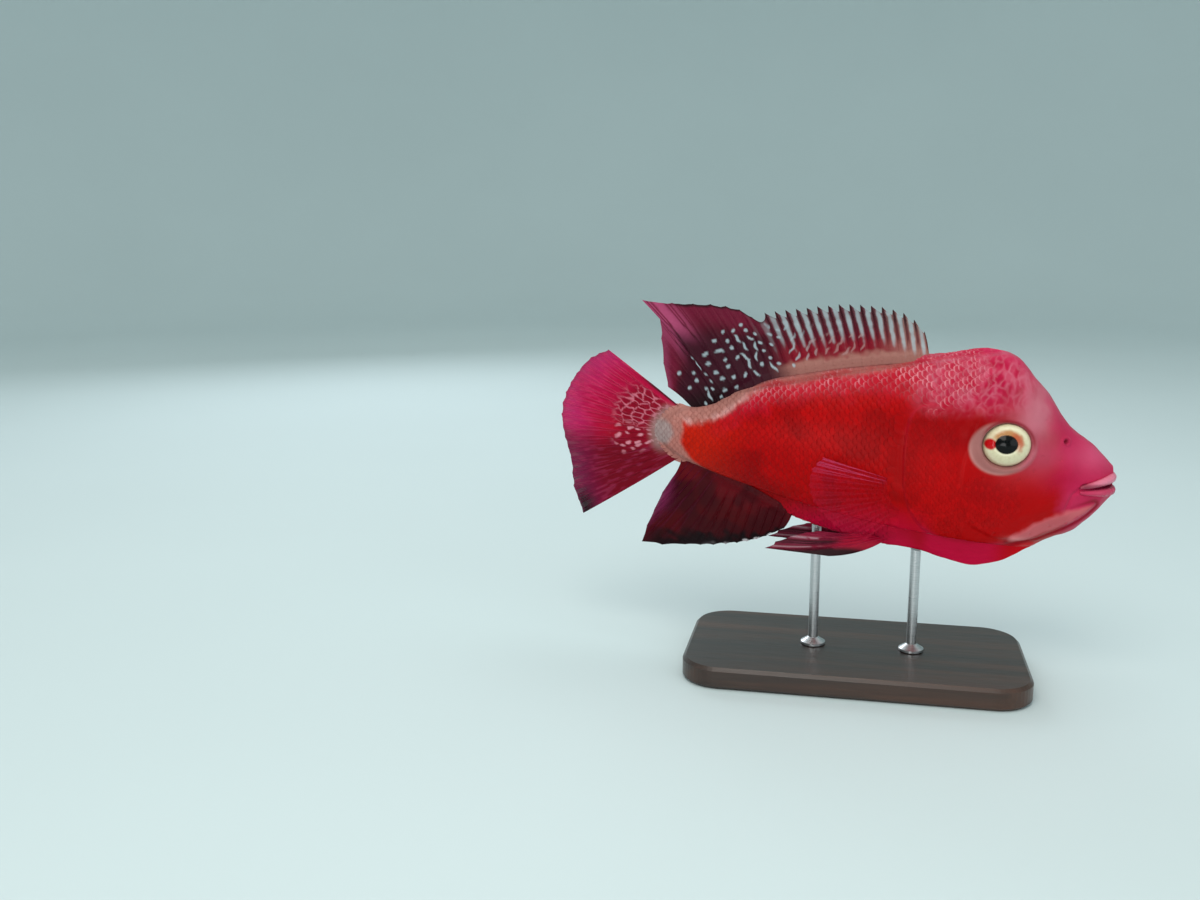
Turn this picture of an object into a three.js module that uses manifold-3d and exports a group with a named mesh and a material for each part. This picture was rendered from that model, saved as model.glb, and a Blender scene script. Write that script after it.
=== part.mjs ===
// A flowerhorn cichlid, life size, hovering nose slightly down on a plain display stand.
// Millimetres. +X towards the snout, +Y towards the fish's left, +Z up.
// The origin is the middle of the stand's underside.
import * as THREE from 'three';
import { mergeVertices } from 'three/addons/utils/BufferGeometryUtils.js';
import Module from 'manifold-3d';

const wasm = await Module();
wasm.setup();

// Driving dimensions

const GAP = 0.3; // clearance wherever two pieces meet
const SNOUT_X = 84.6; // front face of the snout behind the lips
const STALK_END_X = -77; // rounded end of the tail stalk, inside the tail fin
const RINGS = 40; // cross-sections along the body
const AROUND = 40; // points round one cross-section

// The tail swings to the fish's left: this much at the reach behind x = 0.
const TAIL_SWING = 13;
const SWING_REACH = 105;

// Side profile and thickness of the body, as [x, value] knots of smooth curves.
const BACK_Z = [
  [-77, 91], [-69, 95.8], [-60, 95.2], [-50, 98.9], [-37, 107.8], [-18, 112.5], [4, 115.7], [26, 117.5],
  [42, 119.6], [51, 116.9], [60, 107.2], [69, 94.4], [78, 87], [84.6, 80.2],
];
const BELLY_Z = [
  [-77, 79.5], [-69, 74.4], [-55, 70.3], [-40, 64.4], [-24, 56.6], [-8, 51.6], [8, 48.2], [22, 46.2],
  [30, 43.8], [40, 41.9], [50, 44.2], [59, 49.5], [64, 52.8], [73, 56.9], [79, 62.8], [84.6, 69.4],
];
const HALF_WIDTH = [
  [-77, 0.9], [-69, 3.6], [-55, 6.2], [-40, 9.6], [-20, 13.6], [0, 16.6], [18, 17.8], [34, 17.6],
  [48, 16], [60, 13.8], [72, 10.2], [80, 7.2], [84.6, 3],
];
const WIDEST_Z = [[-77, 85.3], [-40, 86], [0, 81], [20, 76], [40, 73.5], [75, 73], [84.6, 74.4]];
// Power of the sine that sets the half-width: under 1 is a blunt dome, over 1 is a ridge.
const BACK_RIDGE = [
  [-77, 1], [-50, 1.1], [-20, 1.25], [10, 1.2], [24, 1.05], [36, 0.82], [50, 0.74], [62, 0.82], [84.6, 1],
];
const BELLY_KEEL = [
  [-77, 1], [-55, 1.15], [-30, 1.2], [-5, 0.95], [10, 0.85], [24, 1], [38, 1.35], [56, 1.35], [66, 1.1],
  [84.6, 1],
];

// Lines in the side view where one named part ends and the next begins, as [x, z] knots.
const GILL_LINE = [
  [24.5, 126], [24.2, 117], [20, 105], [17, 93], [17.5, 78], [19, 66], [23, 55], [29, 46], [34, 36],
];
const STALK_LINE = [[-42, 118], [-43, 104], [-46, 86], [-44, 66], [-42, 56]];
const HUMP_LINE = [[24, 122], [27.5, 116.5], [33, 108.5], [43, 103.5], [54, 103.2], [62, 107], [70, 114]];
const JAW_LINE = [
  [92, 74.1], [84, 74.1], [72.7, 72.9], [68.5, 70], [65.5, 64], [63.4, 57], [61, 50], [59, 40],
];
const THROAT_LINE = [[72, 46], [62, 52.2], [54, 52.6], [44, 51], [35, 50.6], [26, 53], [16, 60]];
const MOUTH_OPENING = [[92, 75.1], [92, 73.1], [74.5, 73.05]];

// Gill cover: a plate let into the head, its hind edge lying over the trunk.
const GILL_COVER = [
  [15.2, 96.5], [13.8, 88], [13.7, 79], [14.4, 71], [17.2, 63], [22.5, 57], [29, 54], [37, 53.2],
  [39, 60], [37.2, 72], [35.6, 84], [33.5, 96], [25, 101.5], [18.5, 100.6],
];
const COVER_PROUD = 0.6; // how far the plate stands out of the skin
const COVER_DEPTH = 1.6; // how far it is let in

// Lips: tapered rolls that bend round the snout from one corner of the mouth to the other.
const MOUTH_CORNER_X = 72.8;
const MOUTH_CORNER_Y = 9.7;
const LIP_FRONT_X = 84.3;
const UPPER_LIP = { frontZ: 76.35, cornerZ: 73.75, radius: 1.65 };
const LOWER_LIP = { frontZ: 71.85, cornerZ: 72.05, radius: 1.65 };
const LIP_CORNER_RADIUS = 0.5;

const EYE = {
  centre: new THREE.Vector3(47.6, 12.7, 88.3), // y is the distance from the middle plane
  radii: new THREE.Vector3(8.2, 5.5, 7.5),
  forward: THREE.MathUtils.degToRad(8), // how far it looks ahead
  rimRadii: new THREE.Vector3(11.2, 4.4, 9.6), // fleshy ring round the eyeball
  rimCentre: new THREE.Vector3(46.4, 12.4, 87.7),
};
const NOSTRIL = { centre: new THREE.Vector3(67.5, 9.0, 89.3), radius: 1.0 };

// Thickness of a fin at its rays, of the web between them and at its edge, and steps along a ray.
const MEDIAN_FIN = { rows: 6, crest: 1.5, web: 0.75, tip: 0.55 };
const PAIRED_FIN = { rows: 5, crest: 1.3, web: 0.7, tip: 0.5 };
const FIN_WAVE = 0.9; // sideways play of the free edge of a median fin

const STAND = { length: 122, width: 66, thickness: 8, corner: 14, edge: 1.2 };
const ROD = { radius: 1.8, footRadius: 4.5, footHeight: 2.5, frontX: 20.5, rearX: -15 };

// Curves

// A smooth curve through [x, value] knots, as a function of x.
function through(knots) {
  const slope = knots.map((_, i) => {
    const [a, b] = [knots[Math.max(i - 1, 0)], knots[Math.min(i + 1, knots.length - 1)]];
    return (b[1] - a[1]) / (b[0] - a[0]);
  });
  return (x) => {
    let i = 0;
    while (i < knots.length - 2 && x > knots[i + 1][0]) i += 1;
    const [x0, y0] = knots[i];
    const [x1, y1] = knots[i + 1];
    const step = x1 - x0;
    const t = THREE.MathUtils.clamp((x - x0) / step, 0, 1);
    const [t2, t3] = [t * t, t * t * t];
    return y0 * (2 * t3 - 3 * t2 + 1) + slope[i] * step * (t3 - 2 * t2 + t)
      + y1 * (3 * t2 - 2 * t3) + slope[i + 1] * step * (t3 - t2);
  };
}

const backZ = through(BACK_Z);
const bellyZ = through(BELLY_Z);
const halfWidth = through(HALF_WIDTH);
const widestZ = through(WIDEST_Z);
const backRidge = through(BACK_RIDGE);
const bellyKeel = through(BELLY_KEEL);

// Points of a smooth line through [x, z] knots, as Vector2.
function lineThrough(knots, count, closed = false) {
  const curve = new THREE.CatmullRomCurve3(
    knots.map(([x, z]) => new THREE.Vector3(x, z, 0)), closed, 'centripetal');
  const points = curve.getPoints(count).map((p) => new THREE.Vector2(p.x, p.y));
  if (closed) points.pop();
  return points;
}

// The same points moved sideways, to the left of their direction, by an amount.
function shifted(points, amount, closed = false) {
  const n = points.length;
  return points.map((p, i) => {
    const before = points[closed ? (i + n - 1) % n : Math.max(i - 1, 0)];
    const after = points[closed ? (i + 1) % n : Math.min(i + 1, n - 1)];
    const along = after.clone().sub(before).normalize();
    return new THREE.Vector2(p.x - along.y * amount, p.y + along.x * amount);
  });
}

// Solids

// A closed BufferGeometry as a manifold solid, turned outwards if it is inside out.
function solid(geometry) {
  const bare = new THREE.BufferGeometry();
  const source = geometry.index ? geometry.toNonIndexed() : geometry;
  bare.setAttribute('position', source.getAttribute('position'));
  const merged = mergeVertices(bare, 1e-4);
  const triVerts = new Uint32Array(merged.index.array);
  const build = () => new wasm.Manifold(new wasm.Mesh({
    numProp: 3, vertProperties: merged.getAttribute('position').array, triVerts,
  }));
  const made = build();
  if (made.volume() >= 0) return made;
  for (let i = 0; i < triVerts.length; i += 3) {
    [triVerts[i + 1], triVerts[i + 2]] = [triVerts[i + 2], triVerts[i + 1]];
  }
  return build();
}

// The piece of a cut solid that holds the most.
function largest(cut) {
  return cut.decompose().reduce((best, piece) => (piece.volume() > best.volume() ? piece : best));
}

// A flat outline in the side view, made solid from one y to another.
function prism(points, fromY, toY) {
  const shape = new THREE.Shape(points);
  const geometry = new THREE.ExtrudeGeometry(shape, { depth: toY - fromY, bevelEnabled: false });
  geometry.rotateX(Math.PI / 2).translate(0, toY, 0);
  return solid(geometry);
}

// A thin cut through the whole body along a line of the side view.
function cutAlong(knots, thickness = GAP) {
  const line = lineThrough(knots, 26);
  const outline = [...shifted(line, thickness / 2), ...shifted(line, -thickness / 2).reverse()];
  return prism(outline, -40, 40);
}

// Splits a solid by a thin cut, into the part with the larger and the smaller middle x, or z.
function parted(whole, cut, axis) {
  const pieces = whole.subtract(cut).decompose().sort((a, b) => b.volume() - a.volume()).slice(0, 2);
  const middle = (piece) => {
    const box = piece.boundingBox();
    return box.min[axis] + box.max[axis];
  };
  return pieces.sort((a, b) => middle(b) - middle(a));
}
const ALONG = 0;
const UP = 2;

// A triangle list from rings of points, closed round each ring and capped at both ends.
function lofted(rings) {
  const positions = [];
  const triangle = (...corners) => corners.forEach((p) => positions.push(p.x, p.y, p.z));
  const count = rings[0].length;
  for (let i = 0; i < rings.length - 1; i += 1) {
    for (let j = 0; j < count; j += 1) {
      const [a, b] = [rings[i][j], rings[i][(j + 1) % count]];
      const [c, d] = [rings[i + 1][(j + 1) % count], rings[i + 1][j]];
      triangle(a, b, c);
      triangle(a, c, d);
    }
  }
  const cap = (ring, turned) => {
    const middle = ring.reduce((sum, p) => sum.add(p), new THREE.Vector3()).divideScalar(count);
    ring.forEach((p, j) => {
      const next = ring[(j + 1) % count];
      if (turned) triangle(middle, p, next);
      else triangle(middle, next, p);
    });
  };
  cap(rings[0], false);
  cap(rings[rings.length - 1], true);
  const geometry = new THREE.BufferGeometry();
  geometry.setAttribute('position', new THREE.Float32BufferAttribute(positions, 3));
  return geometry;
}

// Point on the skin, grown by an amount. The angle runs from the back, by the left side, to the belly.
function skinPoint(x, angle, grown = 0) {
  const [up, side] = [Math.cos(angle), Math.sin(angle)];
  const middle = widestZ(x);
  const reach = up > 0 ? backZ(x) - middle : middle - bellyZ(x);
  const power = up > 0 ? backRidge(x) : bellyKeel(x);
  const width = Math.max(halfWidth(x) + grown, 0.2);
  const y = Math.sign(side) * width * Math.abs(side) ** power;
  return new THREE.Vector3(x, y, middle + Math.max(reach + grown, 0.2) * up);
}

// The whole body without fins, grown by an amount all round.
function bodySolid(grown = 0) {
  const rings = [];
  for (let i = 0; i <= RINGS; i += 1) {
    const t = i / RINGS;
    const eased = 0.55 * t + 0.45 * (1 - Math.cos(Math.PI * t)) / 2;
    const x = STALK_END_X + (SNOUT_X - STALK_END_X) * eased;
    const ring = [];
    for (let j = 0; j < AROUND; j += 1) {
      const p = skinPoint(x, (2 * Math.PI * j) / AROUND, grown);
      if (i === 0) p.x -= grown;
      if (i === RINGS) p.x += grown;
      ring.push(p);
    }
    rings.push(ring);
  }
  return solid(lofted(rings));
}

function ellipsoid(radii, centre, turn = 0, across = 18, down = 10) {
  const geometry = new THREE.SphereGeometry(1, across, down);
  geometry.rotateX(Math.PI / 2).scale(radii.x, radii.y, radii.z).rotateZ(turn);
  return solid(geometry.translate(centre.x, centre.y, centre.z));
}

// Places of a sided thing on the fish's left (+1) or right (-1).
const SIDES = { left: 1, right: -1 };
const toSide = (p, side) => new THREE.Vector3(p.x, p.y * side, p.z);
const grownBy = (radii, amount) => radii.clone().addScalar(amount);

function lip({ frontZ, cornerZ, radius }, grown = 0) {
  const steps = 18;
  const sides = 8;
  const rings = [];
  for (let i = 0; i <= steps; i += 1) {
    const angle = -Math.PI / 2 + (Math.PI * i) / steps;
    const [ahead, side] = [Math.cos(angle), Math.sin(angle)];
    const thick = LIP_CORNER_RADIUS + (radius - LIP_CORNER_RADIUS) * ahead ** 0.7 + grown;
    const middle = new THREE.Vector3(
      MOUTH_CORNER_X + (LIP_FRONT_X - MOUTH_CORNER_X) * ahead,
      MOUTH_CORNER_Y * side,
      cornerZ + (frontZ - cornerZ) * ahead);
    const out = new THREE.Vector3(ahead, side, 0).normalize();
    const ring = [];
    for (let j = 0; j < sides; j += 1) {
      const round = (2 * Math.PI * j) / sides;
      ring.push(middle.clone().addScaledVector(out, thick * Math.cos(round))
        .add(new THREE.Vector3(0, 0, thick * Math.sin(round))));
    }
    rings.push(ring);
  }
  return solid(lofted(rings));
}

// Fins

// A ray from its root to its tip, bowed towards a direction on the way.
function ray(root, tip, bow = new THREE.Vector3()) {
  const bend = root.clone().add(tip).multiplyScalar(0.5).addScaledVector(bow, 1);
  return new THREE.QuadraticBezierCurve3(root, bend, tip);
}

// A fin: rays as ridges and a thinner web between them, both faces split alike.
// notch is the share of the length by which the web stops short of the tips.
function fin(rays, { rows, crest, web, tip, notch, face, wave = () => 0 }) {
  const columns = 2 * rays.length - 1;
  const nearFace = [];
  const farFace = [];
  for (let c = 0; c < columns; c += 1) {
    const isRay = c % 2 === 0;
    const k = Math.floor(c / 2);
    const near = [];
    const far = [];
    for (let r = 0; r <= rows; r += 1) {
      const s = r / rows;
      const point = isRay ? rays[k].getPoint(s) : (() => {
        const reach = s * (1 - notch(k + 0.5));
        return rays[k].getPoint(reach).add(rays[k + 1].getPoint(reach)).multiplyScalar(0.5);
      })();
      const half = THREE.MathUtils.lerp(isRay ? crest : web, tip, s) / 2;
      const side = face(c / (columns - 1), s);
      point.addScaledVector(side, wave(c / (columns - 1), s));
      near.push(point.clone().addScaledVector(side, half));
      far.push(point.clone().addScaledVector(side, -half));
    }
    nearFace.push(near);
    farFace.push(far);
  }
  const positions = [];
  const quad = (a, b, c, d) => [a, b, c, a, c, d].forEach((p) => positions.push(p.x, p.y, p.z));
  for (let c = 0; c < columns - 1; c += 1) {
    for (let r = 0; r < rows; r += 1) {
      const [a, b] = [nearFace[c], nearFace[c + 1]];
      quad(a[r], b[r], b[r + 1], a[r + 1]);
      const [d, e] = [farFace[c], farFace[c + 1]];
      [d[r], e[r + 1], e[r], d[r], d[r + 1], e[r + 1]].forEach((p) => positions.push(p.x, p.y, p.z));
    }
    quad(farFace[c][0], farFace[c + 1][0], nearFace[c + 1][0], nearFace[c][0]);
    quad(nearFace[c][rows], nearFace[c + 1][rows], farFace[c + 1][rows], farFace[c][rows]);
  }
  for (let r = 0; r < rows; r += 1) {
    quad(farFace[0][r], nearFace[0][r], nearFace[0][r + 1], farFace[0][r + 1]);
    const last = columns - 1;
    quad(nearFace[last][r], farFace[last][r], farFace[last][r + 1], nearFace[last][r + 1]);
  }
  const geometry = new THREE.BufferGeometry();
  geometry.setAttribute('position', new THREE.Float32BufferAttribute(positions, 3));
  return solid(geometry);
}

// Tips spread along a smooth line through [ray number, x, z] knots.
function tipsThrough(knots) {
  const x = through(knots.map(([k, value]) => [k, value]));
  const z = through(knots.map(([k, , value]) => [k, value]));
  return (k) => new THREE.Vector3(x(k), 0, z(k));
}

const SPINE_COUNT = 16;
const SOFT_COUNT = 11;
const ANAL_SPINES = 7;
const ANAL_SOFT = 9;
const ROOT_DEPTH = 2.6; // how far a fin's roots are sunk before it is cut to the skin
const sideways = () => new THREE.Vector3(0, 1, 0);

function dorsalFin() {
  const spineRoot = { first: 21.8, spacing: -3.22 };
  const spineTip = { first: 19.6, spacing: -3.72, top: 134.3, rise: 9.3, fall: 0.5 };
  const softRoot = { first: -29.6, spacing: -3.05 };
  const softTip = tipsThrough([
    [0, -40.8, 129], [1, -45.4, 131.6], [3, -56, 133.2], [5, -70.8, 133.5], [6, -82.3, 134.2],
    [7, -75.5, 128.4], [8, -74.5, 120], [9, -73.6, 110.8], [10, -71.6, 102],
  ]);
  const rays = [];
  for (let k = 0; k < SPINE_COUNT; k += 1) {
    const rootX = spineRoot.first + spineRoot.spacing * k;
    const root = new THREE.Vector3(rootX, 0, backZ(rootX) - ROOT_DEPTH);
    const z = spineTip.top - spineTip.rise * Math.exp(-k / 1.7) - spineTip.fall * Math.max(0, k - 8);
    const tip = new THREE.Vector3(spineTip.first + spineTip.spacing * k, 0, z);
    rays.push(ray(root, tip, new THREE.Vector3(0.5, 0, 0.7)));
  }
  for (let k = 0; k < SOFT_COUNT; k += 1) {
    const rootX = softRoot.first + softRoot.spacing * k;
    const root = new THREE.Vector3(rootX, 0, backZ(rootX) - ROOT_DEPTH);
    rays.push(ray(root, softTip(k), new THREE.Vector3(0.6, 0, 2.2 - 0.1 * k)));
  }
  return fin(rays, {
    ...MEDIAN_FIN,
    face: sideways,
    notch: (k) => (k < SPINE_COUNT ? 0.13 : 0.03),
    wave: (u, s) => FIN_WAVE * s * s * Math.sin(9 * u) * u,
  });
}

function caudalFin() {
  const count = 17;
  const tip = tipsThrough([
    [0, -95.4, 115], [2, -102.6, 111.6], [4, -108.6, 105.2], [6, -112.9, 97.6], [8, -114.8, 89],
    [10, -113.2, 80], [12, -110.6, 70.6], [14, -110, 60.6], [16, -106, 49.8],
  ]);
  const root = { z: 85.2, spread: 9.4, edgeX: -66.5, bulge: 7 };
  const rays = [];
  for (let k = 0; k < count; k += 1) {
    const across = 1 - (2 * k) / (count - 1);
    const from = new THREE.Vector3(
      root.edgeX - root.bulge * (1 - across * across), 0, root.z + root.spread * across);
    rays.push(ray(from, tip(k), new THREE.Vector3(0, 0, 0.5 * across)));
  }
  return fin(rays, {
    ...MEDIAN_FIN,
    face: sideways,
    notch: () => 0.02,
    wave: (u, s) => FIN_WAVE * s * s * Math.sin(7 * u + 0.6),
  });
}

function analFin() {
  const count = ANAL_SPINES + ANAL_SOFT;
  const root = { first: -23.5, spacing: -2.8 };
  const tip = tipsThrough([
    [0, -27, 51.4], [3, -37, 46.2], [6, -48.5, 43.6], [9, -64, 42.2], [11, -81.4, 41.4],
    [12, -79.4, 48], [13, -76.4, 54.8], [14, -73.4, 61.4], [15, -69.6, 67.4],
  ]);
  const rays = [];
  for (let k = 0; k < count; k += 1) {
    const rootX = root.first + root.spacing * k;
    const from = new THREE.Vector3(rootX, 0, bellyZ(rootX) + ROOT_DEPTH);
    rays.push(ray(from, tip(k), new THREE.Vector3(0.4, 0, -1.2)));
  }
  return fin(rays, {
    ...MEDIAN_FIN,
    face: sideways,
    notch: (k) => (k < ANAL_SPINES ? 0.1 : 0.03),
    wave: (u, s) => FIN_WAVE * s * s * Math.sin(8 * u),
  });
}

function pectoralFin(side) {
  const count = 13;
  const root = { top: new THREE.Vector3(13.2, 15.4, 74), bottom: new THREE.Vector3(14.6, 15.2, 65.4) };
  const spread = tipsThrough([
    [0, -13.5, 83.8], [2, -17, 79.4], [4, -18, 73.6], [6, -16.2, 67.6], [8, -12, 62.2], [10, -6, 57.6],
    [12, 2, 54.6],
  ]);
  const rays = [];
  for (let k = 0; k < count; k += 1) {
    const share = k / (count - 1);
    const from = root.top.clone().lerp(root.bottom, share);
    const to = spread(k).setY(24.6 - 1.6 * share);
    rays.push(ray(toSide(from, side), toSide(to, side), new THREE.Vector3(0, 1.6 * side, 0.4 - 0.8 * share)));
  }
  const out = new THREE.Vector3(0.28, side, 0).normalize();
  return fin(rays, { ...PAIRED_FIN, face: () => out, notch: () => 0.025 });
}

function pelvicFin(side) {
  const count = 6;
  const root = { outer: new THREE.Vector3(9.6, 6.4, 51), inner: new THREE.Vector3(3.6, 3.4, 52.4) };
  const spread = tipsThrough([
    [0, -10.5, 44.6], [1, -33.6, 45.8], [2, -29.6, 48.4], [3, -24.4, 50.6], [4, -19, 52.2], [5, -14, 53],
  ]);
  const rays = [];
  for (let k = 0; k < count; k += 1) {
    const share = k / (count - 1);
    const from = root.outer.clone().lerp(root.inner, share);
    const to = spread(k).setY(9.4 - 3 * share);
    const sag = k === 0 ? -2.6 : -3.4 + 2.6 * share;
    rays.push(ray(toSide(from, side), toSide(to, side), new THREE.Vector3(1.2, 0.8 * side, sag)));
  }
  const out = new THREE.Vector3(0.1, side, 0.25).normalize();
  return fin(rays, { ...PAIRED_FIN, face: () => out, notch: () => 0.03 });
}

// Body parts

const body = bodySolid();
const bodyClear = bodySolid(GAP);

const coverLine = lineThrough(GILL_COVER, 44, true);
const underCover = bodySolid(-COVER_DEPTH);
const coverSpan = (side) => (side > 0 ? [2, 40] : [-40, -2]);

function gillCover(side) {
  return largest(bodySolid(COVER_PROUD).subtract(underCover).intersect(prism(coverLine, ...coverSpan(side))));
}

// Everything outside the bed that the gill cover lies in.
function coverBed(side) {
  const wide = prism(shifted(coverLine, GAP, true), ...coverSpan(side));
  const narrow = prism(shifted(coverLine, -GAP, true), ...coverSpan(side));
  const bed = wide.volume() > narrow.volume() ? wide : narrow;
  return bed.subtract(bodySolid(-COVER_DEPTH - GAP));
}

const beds = Object.values(SIDES).map(coverBed);
const eyeball = (side, grown = 0) => ellipsoid(
  grownBy(EYE.radii, grown), toSide(EYE.centre, side), -EYE.forward * side);

const [headWhole, trunkWhole] = parted(body, cutAlong(GILL_LINE), ALONG);
const [trunkCut, stalk] = parted(trunkWhole, cutAlong(STALK_LINE), ALONG);
const [hump, headBelowHump] = parted(headWhole, cutAlong(HUMP_LINE), UP);
const [lowerJawCut, headBehindJaw] = parted(headBelowHump, cutAlong(JAW_LINE), ALONG);
const [headCut, throat] = parted(headBehindJaw, cutAlong(THROAT_LINE), UP);

const lipBeds = [lip(UPPER_LIP, GAP), lip(LOWER_LIP, GAP)];
const mouth = prism(MOUTH_OPENING.map(([x, z]) => new THREE.Vector2(x, z)), -20, 20);
const without = (start, cutters) => largest(cutters.reduce((left, cutter) => left.subtract(cutter), start));

function headSolid() {
  let made = headCut;
  for (const side of Object.values(SIDES)) {
    made = made.add(ellipsoid(EYE.rimRadii, toSide(EYE.rimCentre, side), -EYE.forward * side));
  }
  const sockets = Object.values(SIDES).map((side) => eyeball(side, GAP));
  const pitRadii = new THREE.Vector3().setScalar(NOSTRIL.radius);
  const pits = Object.values(SIDES).map((side) => ellipsoid(
    pitRadii, toSide(NOSTRIL.centre, side), 0, 8, 6));
  return without(made, [...beds, ...sockets, ...pits, ...lipBeds, mouth]);
}

// Stand

function standBase() {
  const { length, width, thickness, corner, edge } = STAND;
  const [x, y] = [length / 2 - edge, width / 2 - edge];
  const r = corner - edge;
  const shape = new THREE.Shape();
  shape.moveTo(-x + r, -y).lineTo(x - r, -y).absarc(x - r, -y + r, r, -Math.PI / 2, 0, false)
    .lineTo(x, y - r).absarc(x - r, y - r, r, 0, Math.PI / 2, false)
    .lineTo(-x + r, y).absarc(-x + r, y - r, r, Math.PI / 2, Math.PI, false)
    .lineTo(-x, -y + r).absarc(-x + r, -y + r, r, Math.PI, 1.5 * Math.PI, false);
  const geometry = new THREE.ExtrudeGeometry(shape, {
    depth: thickness - 2 * edge,
    bevelEnabled: true,
    bevelThickness: edge,
    bevelSize: edge,
    bevelSegments: 1,
    curveSegments: 6,
  });
  return solid(geometry.translate(0, 0, edge));
}

// A rod with a turned foot, standing on the base and cut to the belly above it.
function standRod(x) {
  const bottom = STAND.thickness + GAP;
  const { radius, footRadius, footHeight } = ROD;
  const profile = [
    [0, bottom], [footRadius, bottom], [footRadius, bottom + 0.8], [radius, bottom + footHeight],
    [radius, bellyZ(x) + 4], [0, bellyZ(x) + 4],
  ].map(([r, z]) => new THREE.Vector2(r, z));
  const geometry = new THREE.LatheGeometry(profile, 28).rotateX(Math.PI / 2).translate(x, 0, 0);
  return largest(solid(geometry).subtract(bodyClear)).translate([0, swing(x), 0]);
}

// How far to the left the tail has swung at this x.
function swing(x) {
  return x < 0 ? TAIL_SWING * (x / SWING_REACH) ** 2 : 0;
}

// Assembly

const FLESH = { color: 0xb00a12, roughness: 0.45 };
const PINK = { color: 0xb83a55, roughness: 0.4 };
const FIN = { color: 0x7a1030, roughness: 0.5 };
const LIP = { color: 0xd06a86, roughness: 0.4 };
const WOOD = { color: 0x1c1a19, roughness: 0.5 };
const STEEL = { color: 0xb8bcc0, roughness: 0.3, metalness: 1 };

const fish = new THREE.Group();
fish.name = 'fish';
const stand = new THREE.Group();
stand.name = 'stand';

function addMesh(group, name, made, look, bent) {
  const { vertProperties, triVerts } = made.getMesh();
  const positions = Float32Array.from(vertProperties);
  if (bent) {
    for (let i = 0; i < positions.length; i += 3) positions[i + 1] += swing(positions[i]);
  }
  const geometry = new THREE.BufferGeometry();
  geometry.setAttribute('position', new THREE.BufferAttribute(positions, 3));
  geometry.setIndex(new THREE.BufferAttribute(Uint32Array.from(triVerts), 1));
  geometry.computeVertexNormals();
  const mesh = new THREE.Mesh(geometry, new THREE.MeshStandardMaterial({ metalness: 0, ...look }));
  mesh.name = name;
  group.add(mesh);
}
const addFish = (name, made, look) => addMesh(fish, name, made, look, true);

addFish('head', headSolid(), FLESH);
addFish('nuchal_hump', hump, PINK);
addFish('lower_jaw', without(lowerJawCut, [...lipBeds, mouth]), PINK);
addFish('throat', without(throat, beds), FLESH);
addFish('trunk', without(trunkCut, beds), FLESH);
addFish('tail_stalk', stalk, FLESH);
addFish('upper_lip', lip(UPPER_LIP), LIP);
addFish('lower_lip', lip(LOWER_LIP), LIP);
addFish('dorsal_fin', without(dorsalFin(), [bodyClear]), FIN);
addFish('caudal_fin', without(caudalFin(), [bodyClear]), FIN);
addFish('anal_fin', without(analFin(), [bodyClear]), FIN);
for (const [name, side] of Object.entries(SIDES)) {
  addFish(`eye_${name}`, eyeball(side), { color: 0xe8dfc0, roughness: 0.2 });
  addFish(`gill_cover_${name}`, gillCover(side), FLESH);
  addFish(`pectoral_fin_${name}`, without(pectoralFin(side), [bodyClear, ...beds]), FIN);
  addFish(`pelvic_fin_${name}`, without(pelvicFin(side), [bodyClear]), FIN);
}
addMesh(stand, 'stand_base', standBase(), WOOD, false);
addMesh(stand, 'stand_rod_front', standRod(ROD.frontX), STEEL, false);
addMesh(stand, 'stand_rod_rear', standRod(ROD.rearX), STEEL, false);

const model = new THREE.Group();
model.name = 'flowerhorn_cichlid';
model.add(fish, stand);

export default model;
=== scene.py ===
"""A flowerhorn cichlid as a life-size display model: skin, scales, fins, eyes, lips, stand and studio.

Shapes are worked out in millimetres, in the solids' own frame, and turned into metres when a mesh is made.
The fish is shaped straight, and its tail is swung to the left as the last step.
"""

import logging
import math
from dataclasses import dataclass, field
from enum import Enum
from functools import cached_property
from typing import Callable, Sequence

import bmesh
import bpy
import numpy as np
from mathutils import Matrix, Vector


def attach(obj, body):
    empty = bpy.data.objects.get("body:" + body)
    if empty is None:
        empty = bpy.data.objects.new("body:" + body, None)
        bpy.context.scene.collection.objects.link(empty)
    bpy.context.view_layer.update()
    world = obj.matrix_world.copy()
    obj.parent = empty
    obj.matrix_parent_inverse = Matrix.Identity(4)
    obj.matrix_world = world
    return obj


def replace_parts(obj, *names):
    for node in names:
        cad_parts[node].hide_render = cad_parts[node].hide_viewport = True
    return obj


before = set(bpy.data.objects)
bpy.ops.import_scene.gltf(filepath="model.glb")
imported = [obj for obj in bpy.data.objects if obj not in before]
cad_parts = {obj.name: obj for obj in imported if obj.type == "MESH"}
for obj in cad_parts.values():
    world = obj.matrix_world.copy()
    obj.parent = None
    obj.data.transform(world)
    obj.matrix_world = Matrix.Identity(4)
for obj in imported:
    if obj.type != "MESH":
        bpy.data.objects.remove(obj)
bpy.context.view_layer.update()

MM = 0.001
LOG = logging.getLogger("flowerhorn")

Array = np.ndarray
Knot = tuple[float, ...]


class Side(Enum):
    """The two sides of the fish, as signs of y."""

    LEFT = 1
    RIGHT = -1

    @property
    def word(self) -> str:
        """The side's name in lower case."""
        return self.name.lower()


class Slot(Enum):
    """Material slots."""

    FLESH = "flesh"
    LIPS = "lips"
    EYES = "eyes"
    DARK_FINS = "dark_fins"
    PINK_FINS = "pink_fins"


# Small maths


def smooth(low: float, high: float, value: Array) -> Array:
    """A soft step from 0 at low to 1 at high.

    Args:
        low: Where the step starts. It may be the larger of the two.
        high: Where the step ends.
        value: Numbers to step.

    Returns:
        Numbers from 0 to 1.
    """
    t = np.clip((value - low) / (high - low), 0, 1)
    return t * t * (3 - 2 * t)


def bell(value: Array, width: float) -> Array:
    """A bell curve of a distance: 1 at zero, and falling off over the width."""
    return np.exp(-((value / width) ** 2))


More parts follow.
